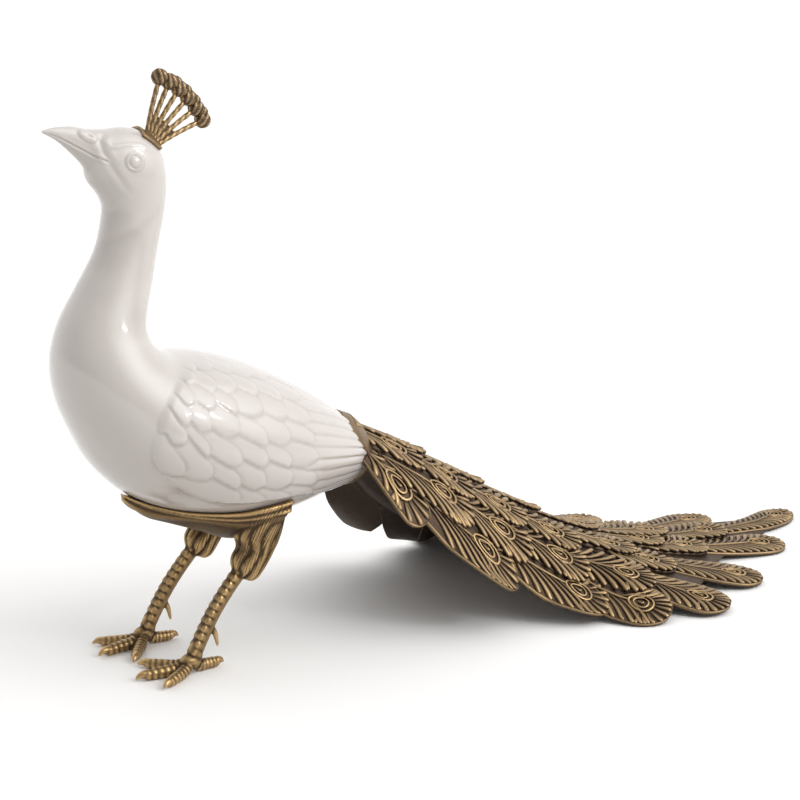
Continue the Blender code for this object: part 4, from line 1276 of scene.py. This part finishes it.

# %% [markdown]
# ## The two finishes
#
# The glaze is a clear glassy coat over warm white clay, with painted shade that darkens it in the grooves and
# on the faces that look down. The brass is cast, browned with acid and then rubbed: the attribute written
# with the shapes says where. One small class lets the formulas of the finishes read as sums and products.

# %% Shader values
class Shade:
    """A shader socket that takes part in sums, products and nodes."""

    def __init__(self, tree, socket):
        self.tree = tree
        self.socket = socket

    def node(self, kind, settings, inputs, out=0):
        made = self.tree.nodes.new(kind)
        for key, value in settings.items():
            setattr(made, key, value)
        for key, value in inputs.items():
            if isinstance(value, Shade):
                self.tree.links.new(value.socket, made.inputs[key])
            else:
                made.inputs[key].default_value = value
        return Shade(self.tree, made.outputs[out])

    def maths(self, operation, first, second):
        return self.node("ShaderNodeMath", {"operation": operation}, {0: first, 1: second})

    def __add__(self, other):
        return self.maths("ADD", self, other)

    def __radd__(self, other):
        return self.maths("ADD", other, self)

    def __sub__(self, other):
        return self.maths("SUBTRACT", self, other)

    def __rsub__(self, other):
        return self.maths("SUBTRACT", other, self)

    def __mul__(self, other):
        return self.maths("MULTIPLY", self, other)

    def __rmul__(self, other):
        return self.maths("MULTIPLY", other, self)

    def clipped(self):
        return self.node("ShaderNodeClamp", {}, {0: self})

    def noise(self, scale, detail):
        return self.node("ShaderNodeTexNoise", {}, {"Vector": self, "Scale": scale, "Detail": detail})

    def blend(self, low, high):
        """A colour between two, by this value."""
        return self.node("ShaderNodeMix", {"data_type": "RGBA"}, {0: self, 6: low, 7: high}, 2)

    def to(self, shader, name):
        self.tree.links.new(self.socket, shader.inputs[name])


def start_material(name):
    """A material with its main shader, and the start of its formulas: a first node and the place."""
    material = bpy.data.materials.new(name)
    material.use_nodes = True
    seed = Shade(material.node_tree, None)
    place = seed.node("ShaderNodeTexCoord", {}, {}, "Object")
    return material, material.node_tree.nodes["Principled BSDF"], seed, place


print("a value can:", [name for name in vars(Shade) if not name.startswith("_")])


# %% Glaze and brass
GLAZE = (0.585, 0.543, 0.517, 1.0)
# Painted shade colour, used in the grooves and on the faces that look down.
GLAZE_PAINTED_SHADE = (0.315, 0.273, 0.236, 1.0)
BRASS_CROWN = (0.60, 0.415, 0.21, 1.0)
BRASS_VALLEY = (0.080, 0.055, 0.041, 1.0)
LEG_CROWN = (0.54, 0.36, 0.165, 1.0)
LEG_VALLEY = (0.068, 0.043, 0.025, 1.0)


def porcelain_material():
    material, shader, seed, place = start_material("white_glaze")
    # Painted shade: the attribute darkens the glaze in the grooves and on the faces that look down.
    relief = seed.node("ShaderNodeAttribute", {"attribute_name": "pool"}, {}, "Fac")
    cloud = place.noise(9.0, 2.0)
    tone = (relief + (cloud - 0.5) * 0.10).clipped()
    tone.blend(GLAZE, GLAZE_PAINTED_SHADE).to(shader, "Base Color")
    shader.inputs["Roughness"].default_value = 0.16
    shader.inputs["Coat Weight"].default_value = 0.8
    shader.inputs["Coat Roughness"].default_value = 0.03
    return material


def brass_material(name, crown, valley, rough):
    material, shader, seed, place = start_material(name)
    polish = seed.node("ShaderNodeAttribute", {"attribute_name": "polish"}, {}, "Fac")
    stain = place.noise(38.0, 4.0)
    grain = place.noise(420.0, 3.0)
    level = (polish * (0.55 + stain * 0.9) + (grain - 0.5) * 0.25).clipped()
    level.blend(valley, crown).to(shader, "Base Color")
    (rough + (1 - level) * 0.24 + (grain - 0.5) * 0.1).to(shader, "Roughness")
    bump = seed.node("ShaderNodeBump", {}, {"Height": grain, "Strength": 0.35, "Distance": 0.0004})
    bump.to(shader, "Normal")
    shader.inputs["Metallic"].default_value = 0.9
    return material


def wear(piece, material):
    piece.data.materials.clear()
    piece.data.materials.append(material)


wear(porcelain, porcelain_material())
wear(brass_train, brass_material("train_patina", BRASS_CROWN, BRASS_VALLEY, 0.30))
wear(brass_crest, brass_material("crest_patina", BRASS_CROWN, BRASS_VALLEY, 0.30))
wear(brass_legs, brass_material("leg_patina", LEG_CROWN, LEG_VALLEY, 0.32))
print("finishes:", [material.name for material in bpy.data.materials])

# %% [markdown]
# ## Camera, light and floor
#
# The photograph looks at the bird from its front left and a little from above, from about 1.75 m away. The
# world carries the light: a bright backdrop and a large soft lobe up on the right behind the camera, which
# leaves the breast in mild shade. One narrow strip light adds the thin bright lines on the glaze.

# %% Camera
VIEW_TURN = 35.593
VIEW_DROP = 12.303
LENS = 81.0
SENSOR_WIDTH = 36.0
CAMERA_SPOT = (-16.493, -31.164, 13.028)
MIDDLE = (0.0, 0.0, 0.25)


def add_camera():
    camera = bpy.data.objects.new("camera", bpy.data.cameras.new("camera"))
    camera.data.lens = LENS
    camera.data.sensor_width = SENSOR_WIDTH
    turn = math.radians(VIEW_TURN)
    drop = math.radians(VIEW_DROP)
    way = Vector((math.sin(turn) * math.cos(drop), math.cos(turn) * math.cos(drop), -math.sin(drop)))
    camera.location = Vector(CAMERA_SPOT) * UNIT + ORIGIN
    camera.rotation_mode = "QUATERNION"
    camera.rotation_quaternion = way.to_track_quat("-Z", "Y")
    camera.data.clip_start = 0.05
    camera.data.clip_end = 60.0
    bpy.context.scene.collection.objects.link(camera)
    bpy.context.scene.camera = camera


def add_light(name, spot, target, wide, tall, power):
    light = bpy.data.objects.new(name, bpy.data.lights.new(name, "AREA"))
    light.data.shape = "RECTANGLE"
    light.data.size = wide
    light.data.size_y = tall
    light.data.energy = power
    light.location = spot
    light.rotation_mode = "QUATERNION"
    light.rotation_quaternion = (Vector(target) - Vector(spot)).to_track_quat("-Z", "Y")
    bpy.context.scene.collection.objects.link(light)


add_camera()
add_light("sparkle", (0.9, -2.1, 1.55), MIDDLE, 0.55, 0.09, 8.0)
print("camera at:", [round(value, 3) for value in bpy.context.scene.camera.location])

# %% World and floor
KEY_WAY = (0.375, -0.656, 0.656)
KEY_EDGE = 0.66
FLOOR_HALF = 6.0
FLOOR_GAP = 0.3 * MM


def add_world():
    world = bpy.data.worlds.new("studio")
    world.use_nodes = True
    tree = world.node_tree
    background = tree.nodes["Background"]
    background.inputs["Color"].default_value = (1.0, 0.995, 0.985, 1.0)
    seed = Shade(tree, None)
    direction = seed.node("ShaderNodeTexCoord", {}, {}, "Generated")
    turn = math.radians(VIEW_TURN)
    backdrop = (math.sin(turn), math.cos(turn), 0.35)
    product = {"operation": "DOT_PRODUCT"}
    facing = seed.node("ShaderNodeVectorMath", product, {0: direction, 1: backdrop}, "Value")
    key = seed.node("ShaderNodeVectorMath", product, {0: direction, 1: KEY_WAY}, "Value")
    box = ((key - KEY_EDGE) * (1 / (1 - KEY_EDGE))).clipped()
    strength = 0.34 + (0.40 + facing * 1.3).clipped() * 0.72 + box * box * 2.6
    strength.to(background, "Strength")
    bpy.context.scene.world = world


def add_floor():
    bm = bmesh.new()
    bmesh.ops.create_grid(bm, x_segments=1, y_segments=1, size=FLOOR_HALF)
    bmesh.ops.translate(bm, verts=bm.verts, vec=(0, 0, -FLOOR_GAP))
    floor = show(mesh_from(bm, "floor"), "floor")
    material = bpy.data.materials.new("pale_floor")
    material.use_nodes = True
    shader = material.node_tree.nodes["Principled BSDF"]
    shader.inputs["Base Color"].default_value = (0.95, 0.948, 0.944, 1.0)
    shader.inputs["Roughness"].default_value = 0.75
    floor.data.materials.append(material)


add_world()
add_floor()
print("world:", bpy.context.scene.world.name, "floor side in m:", 2 * FLOOR_HALF)

bpy.context.scene.view_settings.view_transform = "Standard"
